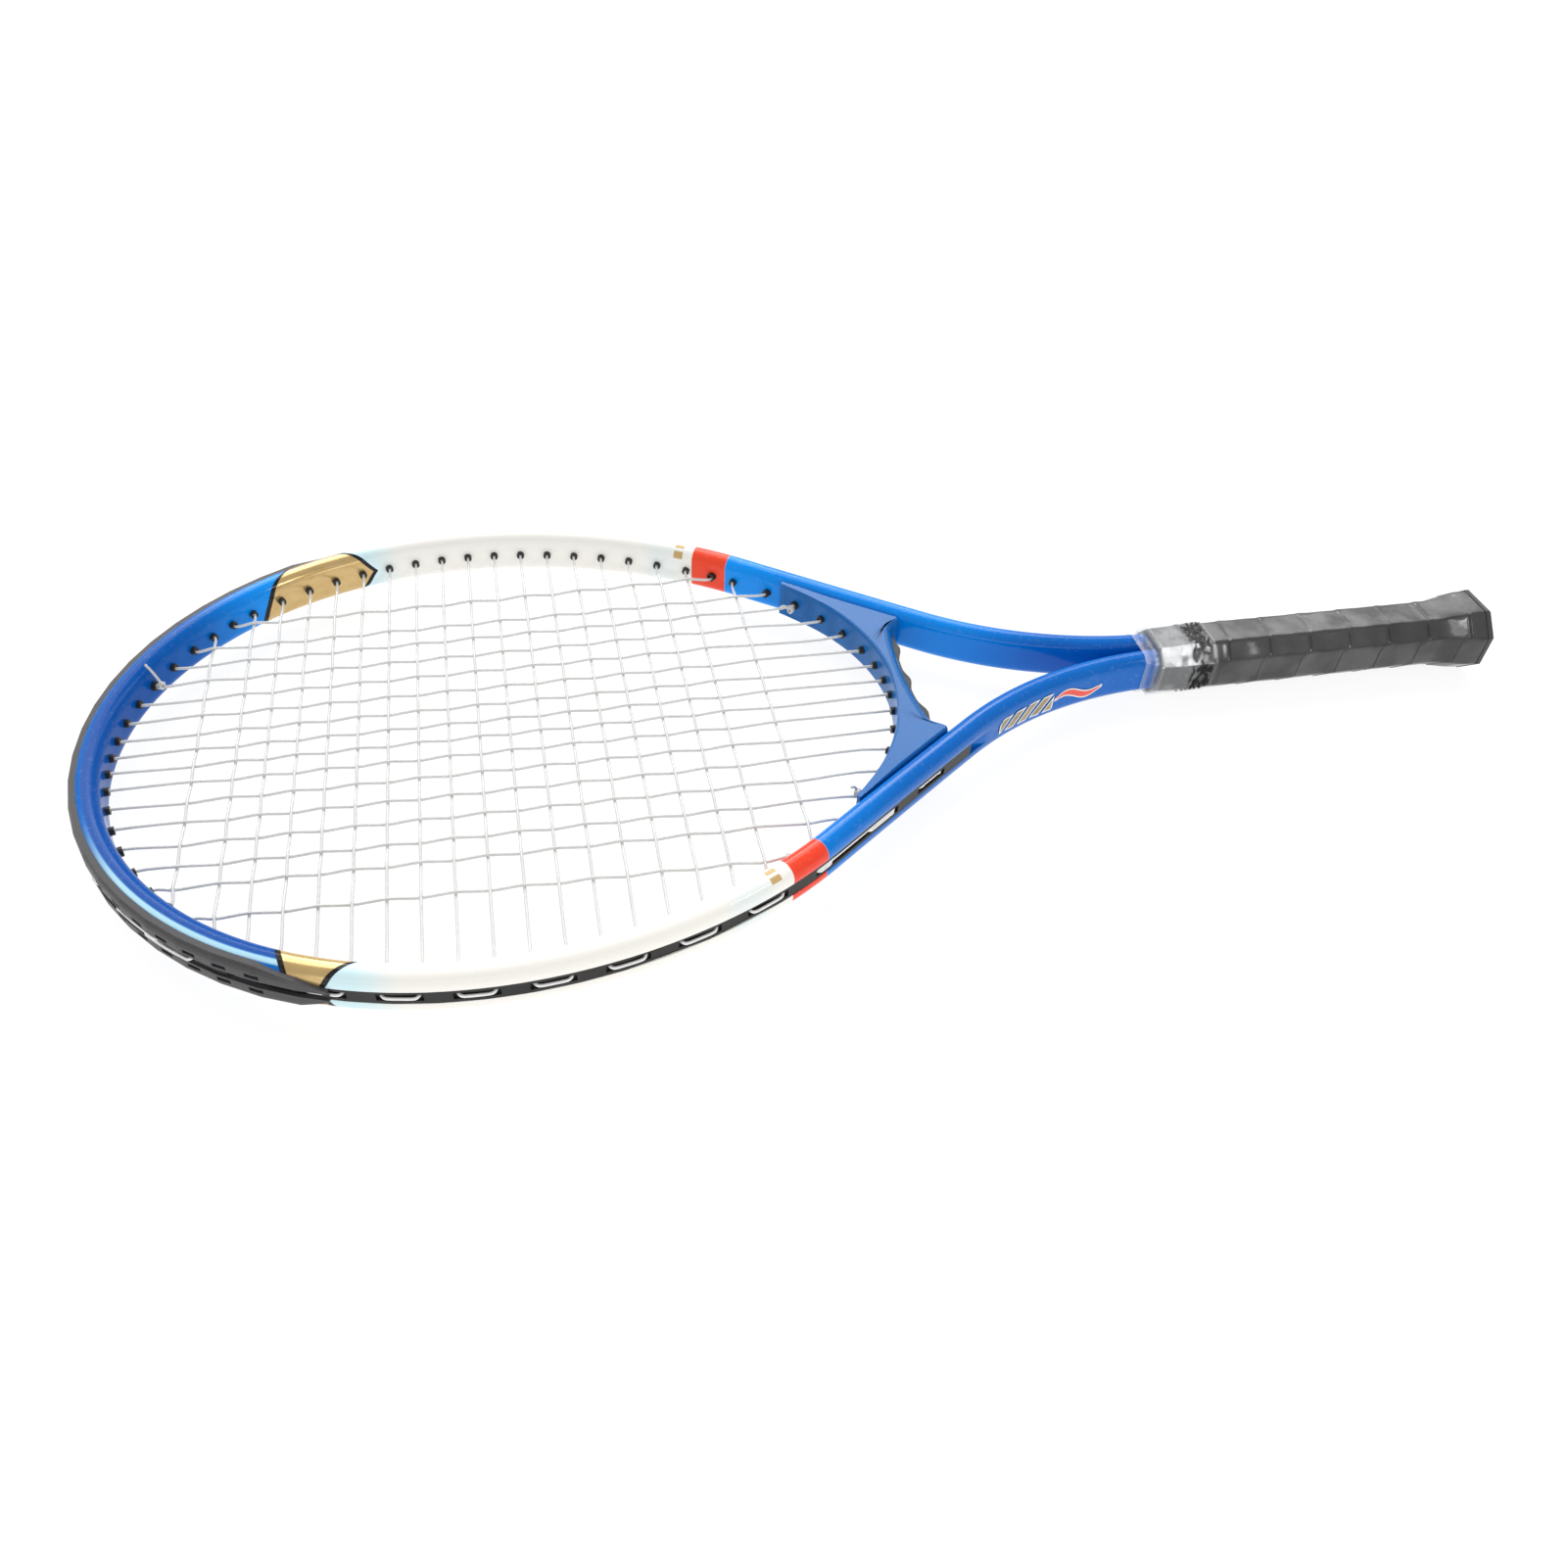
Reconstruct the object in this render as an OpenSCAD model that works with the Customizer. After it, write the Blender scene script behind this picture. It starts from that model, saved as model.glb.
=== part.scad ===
// Tennis racket: one bent alloy tube, a moulded throat bridge, a bumper guard, grommet strips,
// one string for the mains and one for the crosses, and a taped octagonal handle.
// The head tip points to -X, the butt to +X and the string bed lies level.

/* [Tube] */

// Width of the tube across the string bed, mm
tube_width = 10.8; // [10.4:0.1:11.2]

// Height of the tube, the beam of the racket, mm
beam_height = 22; // [21:0.25:23]

// Wall thickness of the tube, mm
tube_wall = 1.2; // [1:0.1:1.4]

/* [Strings] */

// Diameter of the strings, mm
string_diameter = 1.3; // [1.2:0.05:1.35]

// How far a string rises and dips at each crossing, mm
weave_rise = 0.74; // [0.72:0.01:0.8]

/* [Handle] */

// Width of the finished grip, mm
grip_width = 31; // [30.5:0.25:32]

// Height of the finished grip, mm
grip_height = 30; // [29.5:0.25:31]

// Thickness of the grip tape, mm
tape_thickness = 1.5; // [1.3:0.1:1.6]

// Pitch of the grip tape windings, mm
tape_pitch = 21.5; // [19:0.5:24]

/* [View] */

// Sub-part to draw, or all of them

/* [Hidden] */

// The design is laid out from the head tip, with the strings at height zero. It is then moved
// so that the origin is at the middle of its length and width, level with its lowest face.
butt_end = 685;
flare_height = 36.5;
row_origin = [-butt_end / 2, 0, flare_height / 2];

// Egg curve through the inner mouths of the grommets: t = 0 at the throat, 180 at the tip.
egg_center = 191.1;
egg_half_length = 176.1;
egg_half_width = 137.6;
egg_taper = -0.093;
egg_squash = -0.009;
egg_shoulder = 0.010;

// The grommets stand this far proud of the tube's inner face.
mouth_proud = 2;
mouth_to_center = mouth_proud + tube_width / 2;

// Groove round the outside of the hoop, and the strips that lie in it.
fit_gap = 0.06;
groove_depth = 2.4;
groove_height = 7;
groove_floor = tube_width / 2 - groove_depth;
strip_inner = groove_floor + fit_gap;
strip_outer = tube_width / 2 - 0.15;
strip_base = 0.85;
lane_height = 3.8;
string_radius = string_diameter / 2;
string_lift = 0.08;
run_in_strip = strip_inner + strip_base + string_lift + string_radius;

// Bumper guard over the tip.
bumper_thickness = 1.8;
bumper_base = 0.5;
bumper_height = 19.8;
bumper_inner = tube_width / 2 + fit_gap;
bumper_outer = bumper_inner + bumper_thickness;
run_in_bumper = bumper_inner + bumper_base + string_lift + string_radius;
bumper_end = 114;
bumper_slot_from = 77;
bumper_nose = 20;
bumper_nose_drop = 6.6;
window_length = 6.2;
window_height = 2.1;
window_offset = 4.2;
window_pitch = 13.6;

// Grommet barrels. The string sits off centre so that passing runs clear each other.
barrel_radius = 1.9;
bore_radius = 1.1;
tie_barrel_radius = 2.2;
tie_bore_radius = 1.6;
hole_clearance = 0.1;
barrel_lean = 0.35;
bore_shift = 0.3;
tie_shift = 0.78;
lane_shift = 1.08;
kink_step = 0.5;

// Places of the strings, from the middle outwards and from the tip to the throat.
center_offset = 5.2;
main_gaps = [11, 11.9, 12.6, 12.7, 12.8, 11.7, 18];
main_count = len(main_gaps) + 1;
fan_ratio = 1.067;
cross_count = 19;
first_cross = 49.5;
second_cross = 67;
cross_gap = 12.95;
cross_gap_growth = 0.05;
last_cross_gap = 22.8;
tip_tie = 4;
throat_tie = 5;
throat_outer_tie = 7;
bridge_mains = 3;
head_crosses = 2;

// Shaft curve and the straight part that runs into the handle.
hoop_end_angle = 47;
hoop_spans = 6;
bend_start = [397, 41];
bend_heading = -35.5;
shaft_center = 6.2;
shaft_straight_from = 508;
shaft_end = 648;
groove_end = 395;
strip_end = 392;
strip_split = 74;
decal_from = 410;
decal_to = 476;
decal_height = 10.6;
decal_proud = 0.2;

// Throat bridge.
bridge_height = 19;
bridge_wing_angle = 37.5;
bridge_wing_tip = 388;
bridge_wall_gap = 0.12;
throat_face_x = 376.4;
throat_face_rise = 2.8;
throat_face_reach = 33;
loop_pad_rise = 2.1;
loop_pad_reach = 8.5;
bridge_strip_reach = 34;
bridge_strip_base = 1.7;

// Handle.
collar_from = 503.5;
pallet_from = 508.2;
collar_end = 524;
pallet_step = 650;
pallet_end = 672;
flare_from = 657;
tape_end = 681.2;
flare_width = 39;
corner_cut = 7.5;
flare_corner_cut = 10.1;
under_width = grip_width - 2 * tape_thickness - 2 * fit_gap;
under_height = grip_height - 2 * tape_thickness - 2 * fit_gap;
under_cut = corner_cut - 0.75;
cap_wall = 1.4;

function unit(v) = v / norm(v);
function turn_left(v) = [-v.y, v.x];
function heading(a) = [cos(a), sin(a)];
function first_sum(v, n) = n == 0 ? 0 : v[n - 1] + first_sum(v, n - 1);
function smooth(f) = f * f * (3 - 2 * f);
function clamp(x, lo, hi) = min(max(x, lo), hi);
function reversed(v) = [for (i = [len(v) - 1 : -1 : 0]) v[i]];

// ---- Egg curve ----

function egg_swell(t) = 1 + egg_taper * cos(t) + egg_squash * cos(t) ^ 2 + egg_shoulder * cos(t) ^ 3;
function egg(t) = [
    egg_center + egg_half_length * cos(t),
    egg_half_width * sin(t) * egg_swell(t)
];
function egg_tangent(t) = unit(egg(t - 0.05) - egg(t + 0.05));
function egg_offset(t, out) = egg(t) + out * turn_left(egg_tangent(t));

// Parameter between low and high at which the egg is y wide; low is the end nearest the axis.
function egg_at_y(y, low, high, n = 26) =
    n == 0 ? (low + high) / 2 :
    egg((low + high) / 2).y < y
        ? egg_at_y(y, (low + high) / 2, high, n - 1)
        : egg_at_y(y, low, (low + high) / 2, n - 1);

// ---- Tube path: tangent arcs from the tip to the handle, on the +Y side ----
// One arc is [centre, signed radius, start bearing, length]; a negative radius turns right.

function arc_from(p, t, q) =
    let (chord = q - p)
    let (r = (chord * chord) / (2 * (turn_left(t) * chord)))
    let (centre = p + turn_left(t) * r)
    let (swing = 2 * asin(norm(chord) / 2 / abs(r)))
    [centre, r, atan2(p.y - centre.y, p.x - centre.x), abs(r) * swing * PI / 180];

function biarc(p, t1, q, t2) =
    let (v = q - p)
    let (k = 2 * (1 - t1 * t2))
    let (vt = v * (t1 + t2))
    let (reach = (sqrt(vt * vt + k * (v * v)) - vt) / k)
    let (m = (p + q + reach * (t1 - t2)) / 2)
    let (first = arc_from(p, t1, m))
    [first, arc_from(m, unit(turn_left(m - first[0]) * sign(first[1])), q)];

function hoop_angle(i) = 180 - (180 - hoop_end_angle) * i / hoop_spans;
function hoop_knot(i) =
    i == 0
        ? [[egg_center - egg_half_length - mouth_to_center, 0], [0, 1]]
        : [egg_offset(hoop_angle(i), mouth_to_center), egg_tangent(hoop_angle(i))];

knots = [
    for (i = [0 : hoop_spans]) hoop_knot(i),
    [bend_start, heading(bend_heading)],
    [[shaft_straight_from, shaft_center], [1, 0]]
];
arcs = [for (i = [0 : len(knots) - 2]) each biarc(knots[i][0], knots[i][1], knots[i + 1][0], knots[i + 1][1])];
arc_lengths = [for (a = arcs) a[3]];
arc_starts = [for (i = [0 : len(arcs)]) first_sum(arc_lengths, i)];
path_length = arc_starts[len(arcs)];
near_search_end = arc_starts[len(arcs) - 2];

function arc_index(s, i = 0) = (i >= len(arcs) - 1 || s < arc_starts[i + 1]) ? i : arc_index(s, i + 1);
function arc_bearing(i, s) = arcs[i][2] + (s - arc_starts[i]) / arcs[i][1] * 180 / PI;

// Point at path length s moved outward by out; a negative s lies on the -Y side.
function path_point(s, out = 0) =
    let (i = arc_index(abs(s)))
    let (r = abs(arcs[i][1]) - sign(arcs[i][1]) * out)
    let (p = arcs[i][0] + r * heading(arc_bearing(i, abs(s))))
    [p.x, s < 0 ? -p.y : p.y];
function path_outward(s) = unit(path_point(s, 1) - path_point(s, 0));

function near_length(p, low = 0, high = near_search_end, n = 44) =
    let (third = (high - low) / 3)
    n == 0 ? (low + high) / 2 :
    norm(path_point(low + third) - p) < norm(path_point(high - third) - p)
        ? near_length(p, low, high - third, n - 1)
        : near_length(p, low + third, high, n - 1);

function length_at_x(x, low = 0, high = path_length, n = 34) =
    n == 0 ? (low + high) / 2 :
    path_point((low + high) / 2).x < x
        ? length_at_x(x, (low + high) / 2, high, n - 1)
        : length_at_x(x, low, (low + high) / 2, n - 1);

// Path lengths at which swept parts have a section, closer together where the tube bends more.
bend_step = 8;
function arc_steps(i) = max(1, ceil(arcs[i][3] / abs(arcs[i][1]) * 180 / PI / bend_step));
half_stations = [
    for (i = [0 : len(arcs) - 1])
        for (k = [0 : arc_steps(i) - 1])
            arc_starts[i] + arcs[i][3] * k / arc_steps(i),
    path_length
];
stations = concat(
    [for (i = [len(half_stations) - 1 : -1 : 1]) -half_stations[i]],
    half_stations
);

function station_below(s, i = 0) =
    (i >= len(half_stations) - 2 || s < half_stations[i + 1]) ? i : station_below(s, i + 1);

// Point on the chord between two stations, so that neighbouring swept parts stay parallel.
function swept_point(s, out) =
    abs(s) > path_length
        ? [shaft_straight_from + abs(s) - path_length, (shaft_center + out) * sign(s)]
        : chord_point(s, out);
function chord_point(s, out) =
    let (i = station_below(abs(s)))
    let (a = half_stations[i])
    let (f = (abs(s) - a) / (half_stations[i + 1] - a))
    let (p = (1 - f) * path_point(a, out) + f * path_point(half_stations[i + 1], out))
    [p.x, s < 0 ? -p.y : p.y];

// The lengths from a to b at which a swept part has its sections.
function lengths_between(a, b) = concat([a], [for (s = stations) if (s > a + 0.05 && s < b - 0.05) s], [b]);

// Solid through one ring of [out, height] points per length. Rings run anticlockwise with the
// outward direction to the right and the height up. An end that isn't convex is given in pieces.
module swept(lengths, rings, end_pieces = []) {
    n = len(rings[0]);
    count = len(lengths);
    last = (count - 1) * n;
    pieces = len(end_pieces) > 0 ? end_pieces : [[for (q = [0 : n - 1]) q]];
    points = [
        for (i = [0 : count - 1])
            for (q = rings[i])
                let (p = swept_point(lengths[i], q.x))
                [p.x, p.y, q.y]
    ];
    walls = [
        for (i = [0 : count - 2])
            for (q = [0 : n - 1])
                let (a = i * n + q)
                let (b = i * n + (q + 1) % n)
                each [[a, b + n, b], [a, a + n, b + n]]
    ];
    end = [for (piece = pieces) [for (q = reversed(piece)) last + q]];
    polyhedron(points, concat(walls, pieces, end));
}

module swept_same(a, b, ring) {
    lengths = lengths_between(a, b);
    swept(lengths, [for (s = lengths) ring]);
}

module both_sides() {
    children();
    mirror([0, 1, 0])
        children();
}

// ---- Grommet places on the +Y side: [mouth, direction out, path length, run offset, tie-off] ----

function main_y(k) = center_offset + first_sum(main_gaps, k);
function cross_x(j) =
    j == 0 ? first_cross :
    j == cross_count - 1 ? cross_x(j - 1) + last_cross_gap :
    second_cross + cross_gap * (j - 1) + cross_gap_growth * (j - 1) ^ 2;

function place(mouth, string_way, run, tie) =
    let (s = near_length(mouth))
    let (out = path_outward(s))
    let (way = unit(out + barrel_lean * string_way))
    let (gap = (path_point(s) - mouth) * out)
    let (landing = mouth + way * (gap + run) / (way * out))
    [mouth, way, near_length(landing), run, tie];

tip_places = [
    for (k = [0 : main_count - 1])
        place(egg(egg_at_y(main_y(k), 180, 95)), [-1, 0], run_in_bumper, k == tip_tie)
];
throat_places = [
    for (k = [0 : main_count - 1])
        let (mouth = egg(egg_at_y(main_y(k) * fan_ratio, 0, 95)))
        k < bridge_mains
            ? [mouth, [1, 0], 0, 0, false]
            : place(mouth, [1, 0], run_in_strip, k == throat_tie || k == throat_outer_tie)
];
cross_places = [
    for (j = [0 : cross_count - 1])
        place(
            egg(acos((cross_x(j) - egg_center) / egg_half_length)),
            [0, 1],
            j < head_crosses ? run_in_bumper : run_in_strip,
            false
        )
];
head_places = concat(tip_places, [for (j = [0 : head_crosses - 1]) cross_places[j]]);
side_places = concat(
    [for (j = [head_crosses : cross_count - 1]) cross_places[j]],
    [for (k = [bridge_mains : main_count - 1]) throat_places[k]]
);
bridge_places = [for (k = [0 : bridge_mains - 1]) throat_places[k]];

function barrel_size(p) = p[4] ? tie_barrel_radius : barrel_radius;
function bore_size(p) = p[4] ? tie_bore_radius : bore_radius;

function exit_distance(p, run) =
    let (s = near_length(p[0]))
    let (out = path_outward(s))
    ((path_point(s) - p[0]) * out + run) / (p[1] * out);

// A rod along the barrel of a place, from before its mouth to a distance out from it.
module barrel_rod(p, radius, before, reach) {
    translate([p[0].x, p[0].y, 0])
        rotate([0, 90, atan2(p[1].y, p[1].x)])
            translate([0, 0, -before])
                cylinder(r = radius, h = before + reach, $fn = 24);
}

module barrels(places, run) {
    for (p = places)
        barrel_rod(p, barrel_size(p), 0, exit_distance(p, run));
}

module bores(places) {
    for (p = places)
        barrel_rod(p, bore_size(p), 3, exit_distance(p, bumper_outer + 2));
}

module barrel_holes(places, run) {
    for (p = places)
        barrel_rod(p, barrel_size(p) + hole_clearance, 4, exit_distance(p, run));
}

// ---- Profiles ----

module stadium(width, height) {
    square([width, height - width], center = true);
    for (s = [-1, 1])
        translate([0, s * (height - width) / 2])
            circle(d = width, $fn = 48);
}

function band_ring(inner, outer, height) = [
    [inner, -height / 2], [outer, -height / 2], [outer, height / 2], [inner, height / 2]
];

// Half circles of a stadium: the top one runs from the outside in, the bottom one back out.
function stadium_top(centre, width, height, steps) = [
    for (i = [0 : steps]) [centre, (height - width) / 2] + width / 2 * heading(180 * i / steps)
];
function stadium_bottom(centre, width, height, steps) = [
    for (i = [0 : steps]) [centre, -(height - width) / 2] + width / 2 * heading(180 + 180 * i / steps)
];

// ---- Frame ----

// How much of the groove is left at a path length: 1 on the hoop, almost 0 on the shafts.
groove_length = length_at_x(groove_end);
function groove_left(s) = smooth(clamp((groove_length + 9 - abs(s)) / 9, 0, 1));

// The tube's outer side is very slightly crowned where it has no groove.
crown = 0.03;

function tube_ring(s) =
    let (left = groove_left(s))
    let (lip = tube_width / 2 + crown / 2)
    let (floor = tube_width / 2 + crown - (groove_depth + crown) * left)
    let (floor_half = groove_height / 2 - (1 - left))
    concat(
        stadium_top(0, tube_width, beam_height, 6),
        stadium_bottom(0, tube_width, beam_height, 6),
        [
            [lip, -groove_height / 2],
            [floor, -floor_half],
            [floor, floor_half],
            [lip, groove_height / 2]
        ]
    );

function bore_ring(s) =
    let (inner = -tube_width / 2 + tube_wall)
    let (outer = tube_width / 2 - tube_wall - groove_depth * groove_left(s))
    let (width = outer - inner)
    concat(
        stadium_top((outer + inner) / 2, width, beam_height - 2 * tube_wall, 4),
        stadium_bottom((outer + inner) / 2, width, beam_height - 2 * tube_wall, 4)
    );

shaft_end_length = path_length + shaft_end - shaft_straight_from;

module frame_tube() {
    bends = concat(
        [for (s = stations) if (s < -groove_length - 9.5) s],
        [-groove_length - 9, -groove_length - 4.5],
        [for (s = stations) if (abs(s) < groove_length - 0.5) s],
        [groove_length + 4.5, groove_length + 9],
        [for (s = stations) if (s > groove_length + 9.5) s]
    );
    outside = concat([-shaft_end_length], bends, [shaft_end_length]);
    inside = concat([-shaft_end_length - 1], bends, [shaft_end_length + 1]);
    color([0.05, 0.36, 0.80]) translate(row_origin)
        difference() {
            swept(outside, [for (s = outside) tube_ring(s)]);
            swept(inside, [for (s = inside) bore_ring(s)]);
            both_sides()
                barrel_holes(concat(head_places, side_places), groove_floor + 1);
        }
}

// ---- Throat bridge: a plan outline rounded over at its top and bottom edges ----

function throat_face(y) = throat_face_x + throat_face_rise * (y / throat_face_reach) ^ 2;

bridge_outer_steps = 16;
bridge_nose_steps = 6;
bridge_face_steps = 7;
bridge_inner_steps = bridge_outer_steps + bridge_nose_steps + bridge_face_steps;

function bridge_tube_side(f) =
    let (from = near_length(egg(bridge_wing_angle)))
    path_point(from + f * (length_at_x(bridge_wing_tip) - from), -tube_width / 2 - bridge_wall_gap);

function bridge_nose(f) =
    let (a = bridge_tube_side(1))
    let (c = [throat_face(throat_face_reach), throat_face_reach])
    let (tip = a + [2.2, -3.6])
    let (back = [throat_face(throat_face_reach) + 0.8, throat_face_reach + 3.4])
    (1 - f) ^ 3 * a + 3 * f * (1 - f) ^ 2 * tip + 3 * f * f * (1 - f) * back + f ^ 3 * c;

bridge_half = [
    for (i = [0 : bridge_inner_steps]) egg_offset(bridge_wing_angle * i / bridge_inner_steps, mouth_proud),
    for (i = [0 : bridge_outer_steps]) bridge_tube_side(i / bridge_outer_steps),
    for (i = [1 : bridge_nose_steps]) bridge_nose(i / bridge_nose_steps),
    for (i = [1 : bridge_face_steps])
        let (y = throat_face_reach * (1 - i / bridge_face_steps))
        [throat_face(y), y]
];
bridge_outline = concat(
    bridge_half,
    [for (i = [len(bridge_half) - 2 : -1 : 1]) [bridge_half[i].x, -bridge_half[i].y]]
);

// The top and bottom edges are rounded: tightly on the hoop side, which leaves a rim there, and
// in a long slope on the throat side. The thin wing ends are rounded least.
rim_round_reach = 1.3;
rim_round_height = 2.3;
slope_reach = 4.6;
slope_height = 5.5;
slope_steps = 4;
thin_wing_x = 335;
full_wing_x = 360;
least_inset = 0.12;

function edge_inset(z, reach, height) =
    let (f = max(0, abs(z) - bridge_height / 2 + height) / height)
    reach * (1 - sqrt(max(0, 1 - f * f)));

// 0 along the hoop and the tube, rising round the wing end to 1 on the throat side.
function throat_share(i) =
    let (k = min(i, len(bridge_outline) - i))
    smooth(clamp((k - bridge_inner_steps - bridge_outer_steps - 1) / bridge_nose_steps, 0, 1));

function bridge_layer(z) = [
    for (i = [0 : len(bridge_outline) - 1])
        let (n = len(bridge_outline))
        let (along = unit(bridge_outline[(i + 1) % n] - bridge_outline[(i + n - 1) % n]))
        let (depth = (bridge_outline[i].x - thin_wing_x) / (full_wing_x - thin_wing_x))
        let (rim = edge_inset(z, rim_round_reach, rim_round_height))
        let (slope = edge_inset(z, slope_reach, slope_height))
        let (inset = rim + (slope - rim) * throat_share(i))
        bridge_outline[i] - turn_left(along) * inset * smooth(clamp(depth, least_inset, 1))
];

upper_levels = [
    for (i = [0 : slope_steps]) bridge_height / 2 - slope_height * (1 - sin(90 * i / slope_steps))
];
bridge_levels = concat([for (z = reversed(upper_levels)) -z], upper_levels);

// The outline runs out along the hoop side and back along the throat side of one wing, then the
// same for the other wing, so each flat face is filled with strips from side to side.
function other_wing(i) = (i == 0 || i == len(bridge_half) - 1) ? i : len(bridge_outline) - i;
bridge_flat = [
    for (i = [0 : bridge_inner_steps - 1])
        let (j = len(bridge_half) - 1 - i)
        each [[i, i + 1, j - 1, j], [other_wing(j), other_wing(j - 1), other_wing(i + 1), other_wing(i)]]
];

module bridge_body() {
    n = len(bridge_outline);
    top_start = (len(bridge_levels) - 1) * n;
    points = [
        for (z = bridge_levels)
            for (p = bridge_layer(z))
                [p.x, p.y, z]
    ];
    walls = [
        for (k = [0 : len(bridge_levels) - 2])
            for (i = [0 : n - 1])
                let (a = k * n + i)
                let (b = k * n + (i + 1) % n)
                each [[a, b, b + n], [a, b + n, a + n]]
    ];
    bottom = [for (piece = bridge_flat) reversed(piece)];
    top = [for (piece = bridge_flat) [for (i = piece) top_start + i]];
    polyhedron(points, concat(walls, bottom, top));
}

module throat_bridge() {
    color([0.22, 0.47, 0.76]) translate(row_origin)
        difference() {
            bridge_body();
            both_sides()
                for (p = throat_places)
                    barrel_rod(p, barrel_size(p) + hole_clearance, 4, 40);
        }
}

// ---- Bumper guard ----

bumper_arc_steps = 5;
bumper_center_z = (beam_height - tube_width) / 2;

// The guard follows the tube's round shoulders up to its own top edge, narrower at the nose.
function bumper_top(s, length) =
    bumper_height / 2 - bumper_nose_drop * smooth(clamp((abs(s) - length + bumper_nose) / bumper_nose, 0, 1));
function shoulder_out(z, out) =
    let (r = out)
    let (dz = max(0, z - bumper_center_z))
    sqrt(max(0.01, r * r - dz * dz));
function bumper_ring(s, length) =
    let (top = bumper_top(s, length))
    let (floor = bumper_inner + bumper_base)
    let (mid = lane_height / 2)
    let (zs = [for (i = [0 : bumper_arc_steps]) mid + (top - mid) * i / bumper_arc_steps])
    concat(
        [[floor, mid]],
        [for (z = zs) [shoulder_out(z, bumper_outer), z]],
        [for (i = [bumper_arc_steps : -1 : 0]) [shoulder_out(zs[i], bumper_inner), zs[i]]],
        [for (z = zs) [shoulder_out(z, bumper_inner), -z]],
        [for (i = [bumper_arc_steps : -1 : 0]) [shoulder_out(zs[i], bumper_outer), -zs[i]]],
        [[floor, -mid]]
    );

// The C-shaped end in pieces: the floor of the channel, then the upper and lower lips.
bumper_ring_last = 4 * bumper_arc_steps + 5;
bumper_end_pieces = let (n = bumper_arc_steps) concat(
    [[0, 2 * n + 2, 2 * n + 3, bumper_ring_last]],
    [[0, 1, 2], [0, 2, 2 * n + 1], [0, 2 * n + 1, 2 * n + 2]],
    [[bumper_ring_last, 2 * n + 3, 2 * n + 4]],
    [[bumper_ring_last, 2 * n + 4, bumper_ring_last - 2]],
    [[bumper_ring_last, bumper_ring_last - 2, bumper_ring_last - 1]],
    [for (k = [2 : n]) [k, k + 1, 2 * n + 2 - k, 2 * n + 3 - k]],
    [for (k = [1 : n - 1]) [2 * n + 3 + k, 2 * n + 4 + k, bumper_ring_last - 2 - k, bumper_ring_last - 1 - k]]
);

module bumper_guard() {
    bumper_length = length_at_x(bumper_end);
    slot_from = length_at_x(bumper_slot_from);
    lengths = lengths_between(-bumper_length, bumper_length);
    color([0.33, 0.32, 0.33]) translate(row_origin)
        difference() {
            swept(lengths, [for (s = lengths) bumper_ring(s, bumper_length)], bumper_end_pieces);
            both_sides() {
                swept_same(
                    slot_from, bumper_length - 2.5,
                    band_ring(bumper_inner - 1, 2 * bumper_outer, lane_height - 0.02)
                );
                for (s = [window_pitch / 2 : window_pitch : bumper_length - bumper_nose])
                    for (side = [-1, 1])
                        bumper_window(s, side);
                for (p = head_places)
                    barrel_rod(p, bore_size(p) + 0.25, 0, exit_distance(p, bumper_outer + 2));
            }
        }
}

module bumper_window(s, side) {
    p = path_point(s, bumper_inner);
    out = path_outward(s);
    translate([p.x, p.y, side * window_offset])
        rotate([0, 0, atan2(out.y, out.x)])
            translate([-1.5, -window_length / 2, -window_height / 2])
                cube([bumper_thickness + 3, window_length, window_height]);
}

// ---- Grommet strips ----

module head_grommet_strip() {
    half = length_at_x(strip_split) - 0.1;
    color([0.10, 0.10, 0.11]) translate(row_origin)
        difference() {
            union() {
                swept_same(-half, half, band_ring(strip_inner, strip_outer, groove_height - 2 * fit_gap));
                both_sides()
                    barrels(head_places, strip_inner + 0.5);
            }
            both_sides()
                bores(head_places);
        }
}

// Recesses of a side strip: one for each outside run, given by the places at its two ends.
throat_runs = [
    [throat_places[bridge_mains], throat_places[bridge_mains + 1]],
    [throat_places[throat_tie], throat_places[main_count - 1]]
];
function side_runs(first) = concat(
    [for (j = [first : 2 : cross_count - 2]) [cross_places[j], cross_places[j + 1]]],
    throat_runs
);

module run_recess(run) {
    a = min(run[0][2], run[1][2]);
    b = max(run[0][2], run[1][2]);
    swept_same(a - 1.7, b + 1.7, band_ring(strip_inner + strip_base, strip_outer + 1, lane_height));
}

module side_grommet_strip(runs) {
    split = length_at_x(strip_split);
    end = length_at_x(strip_end);
    difference() {
        union() {
            swept_same(split, end, band_ring(strip_inner, strip_outer, groove_height - 2 * fit_gap));
            barrels(side_places, strip_inner + 0.5);
        }
        for (run = runs)
            run_recess(run);
        for (p = side_places)
            run_recess([p, p]);
        bores(side_places);
    }
}

module side_grommet_strip_left() {
    color([0.10, 0.10, 0.11]) translate(row_origin)
        side_grommet_strip(side_runs(1));
}

module side_grommet_strip_right() {
    color([0.10, 0.10, 0.11]) translate(row_origin)
        mirror([0, 1, 0])
            side_grommet_strip(side_runs(2));
}

// Wavy strip on the throat side of the bridge, padded where a string loops over it.
loop_ledge = 1.4;
loop_margin = 1.5;
loop_centers = [0, (main_y(1) + main_y(2)) * fan_ratio / 2];
loop_reaches = [main_y(0) * fan_ratio, (main_y(2) - main_y(1)) * fan_ratio / 2];

function loop_pad(y, centre) =
    abs(y - centre) > loop_pad_reach ? 0 : loop_pad_rise * (1 + cos(180 * (y - centre) / loop_pad_reach)) / 2;
function bridge_strip_rise(y) =
    bridge_strip_base + loop_pad(abs(y), loop_centers[0]) + loop_pad(abs(y), loop_centers[1]);
function bridge_run_x(y) = throat_face(y) + bridge_strip_rise(y) - loop_ledge + string_lift + string_radius;

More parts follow.
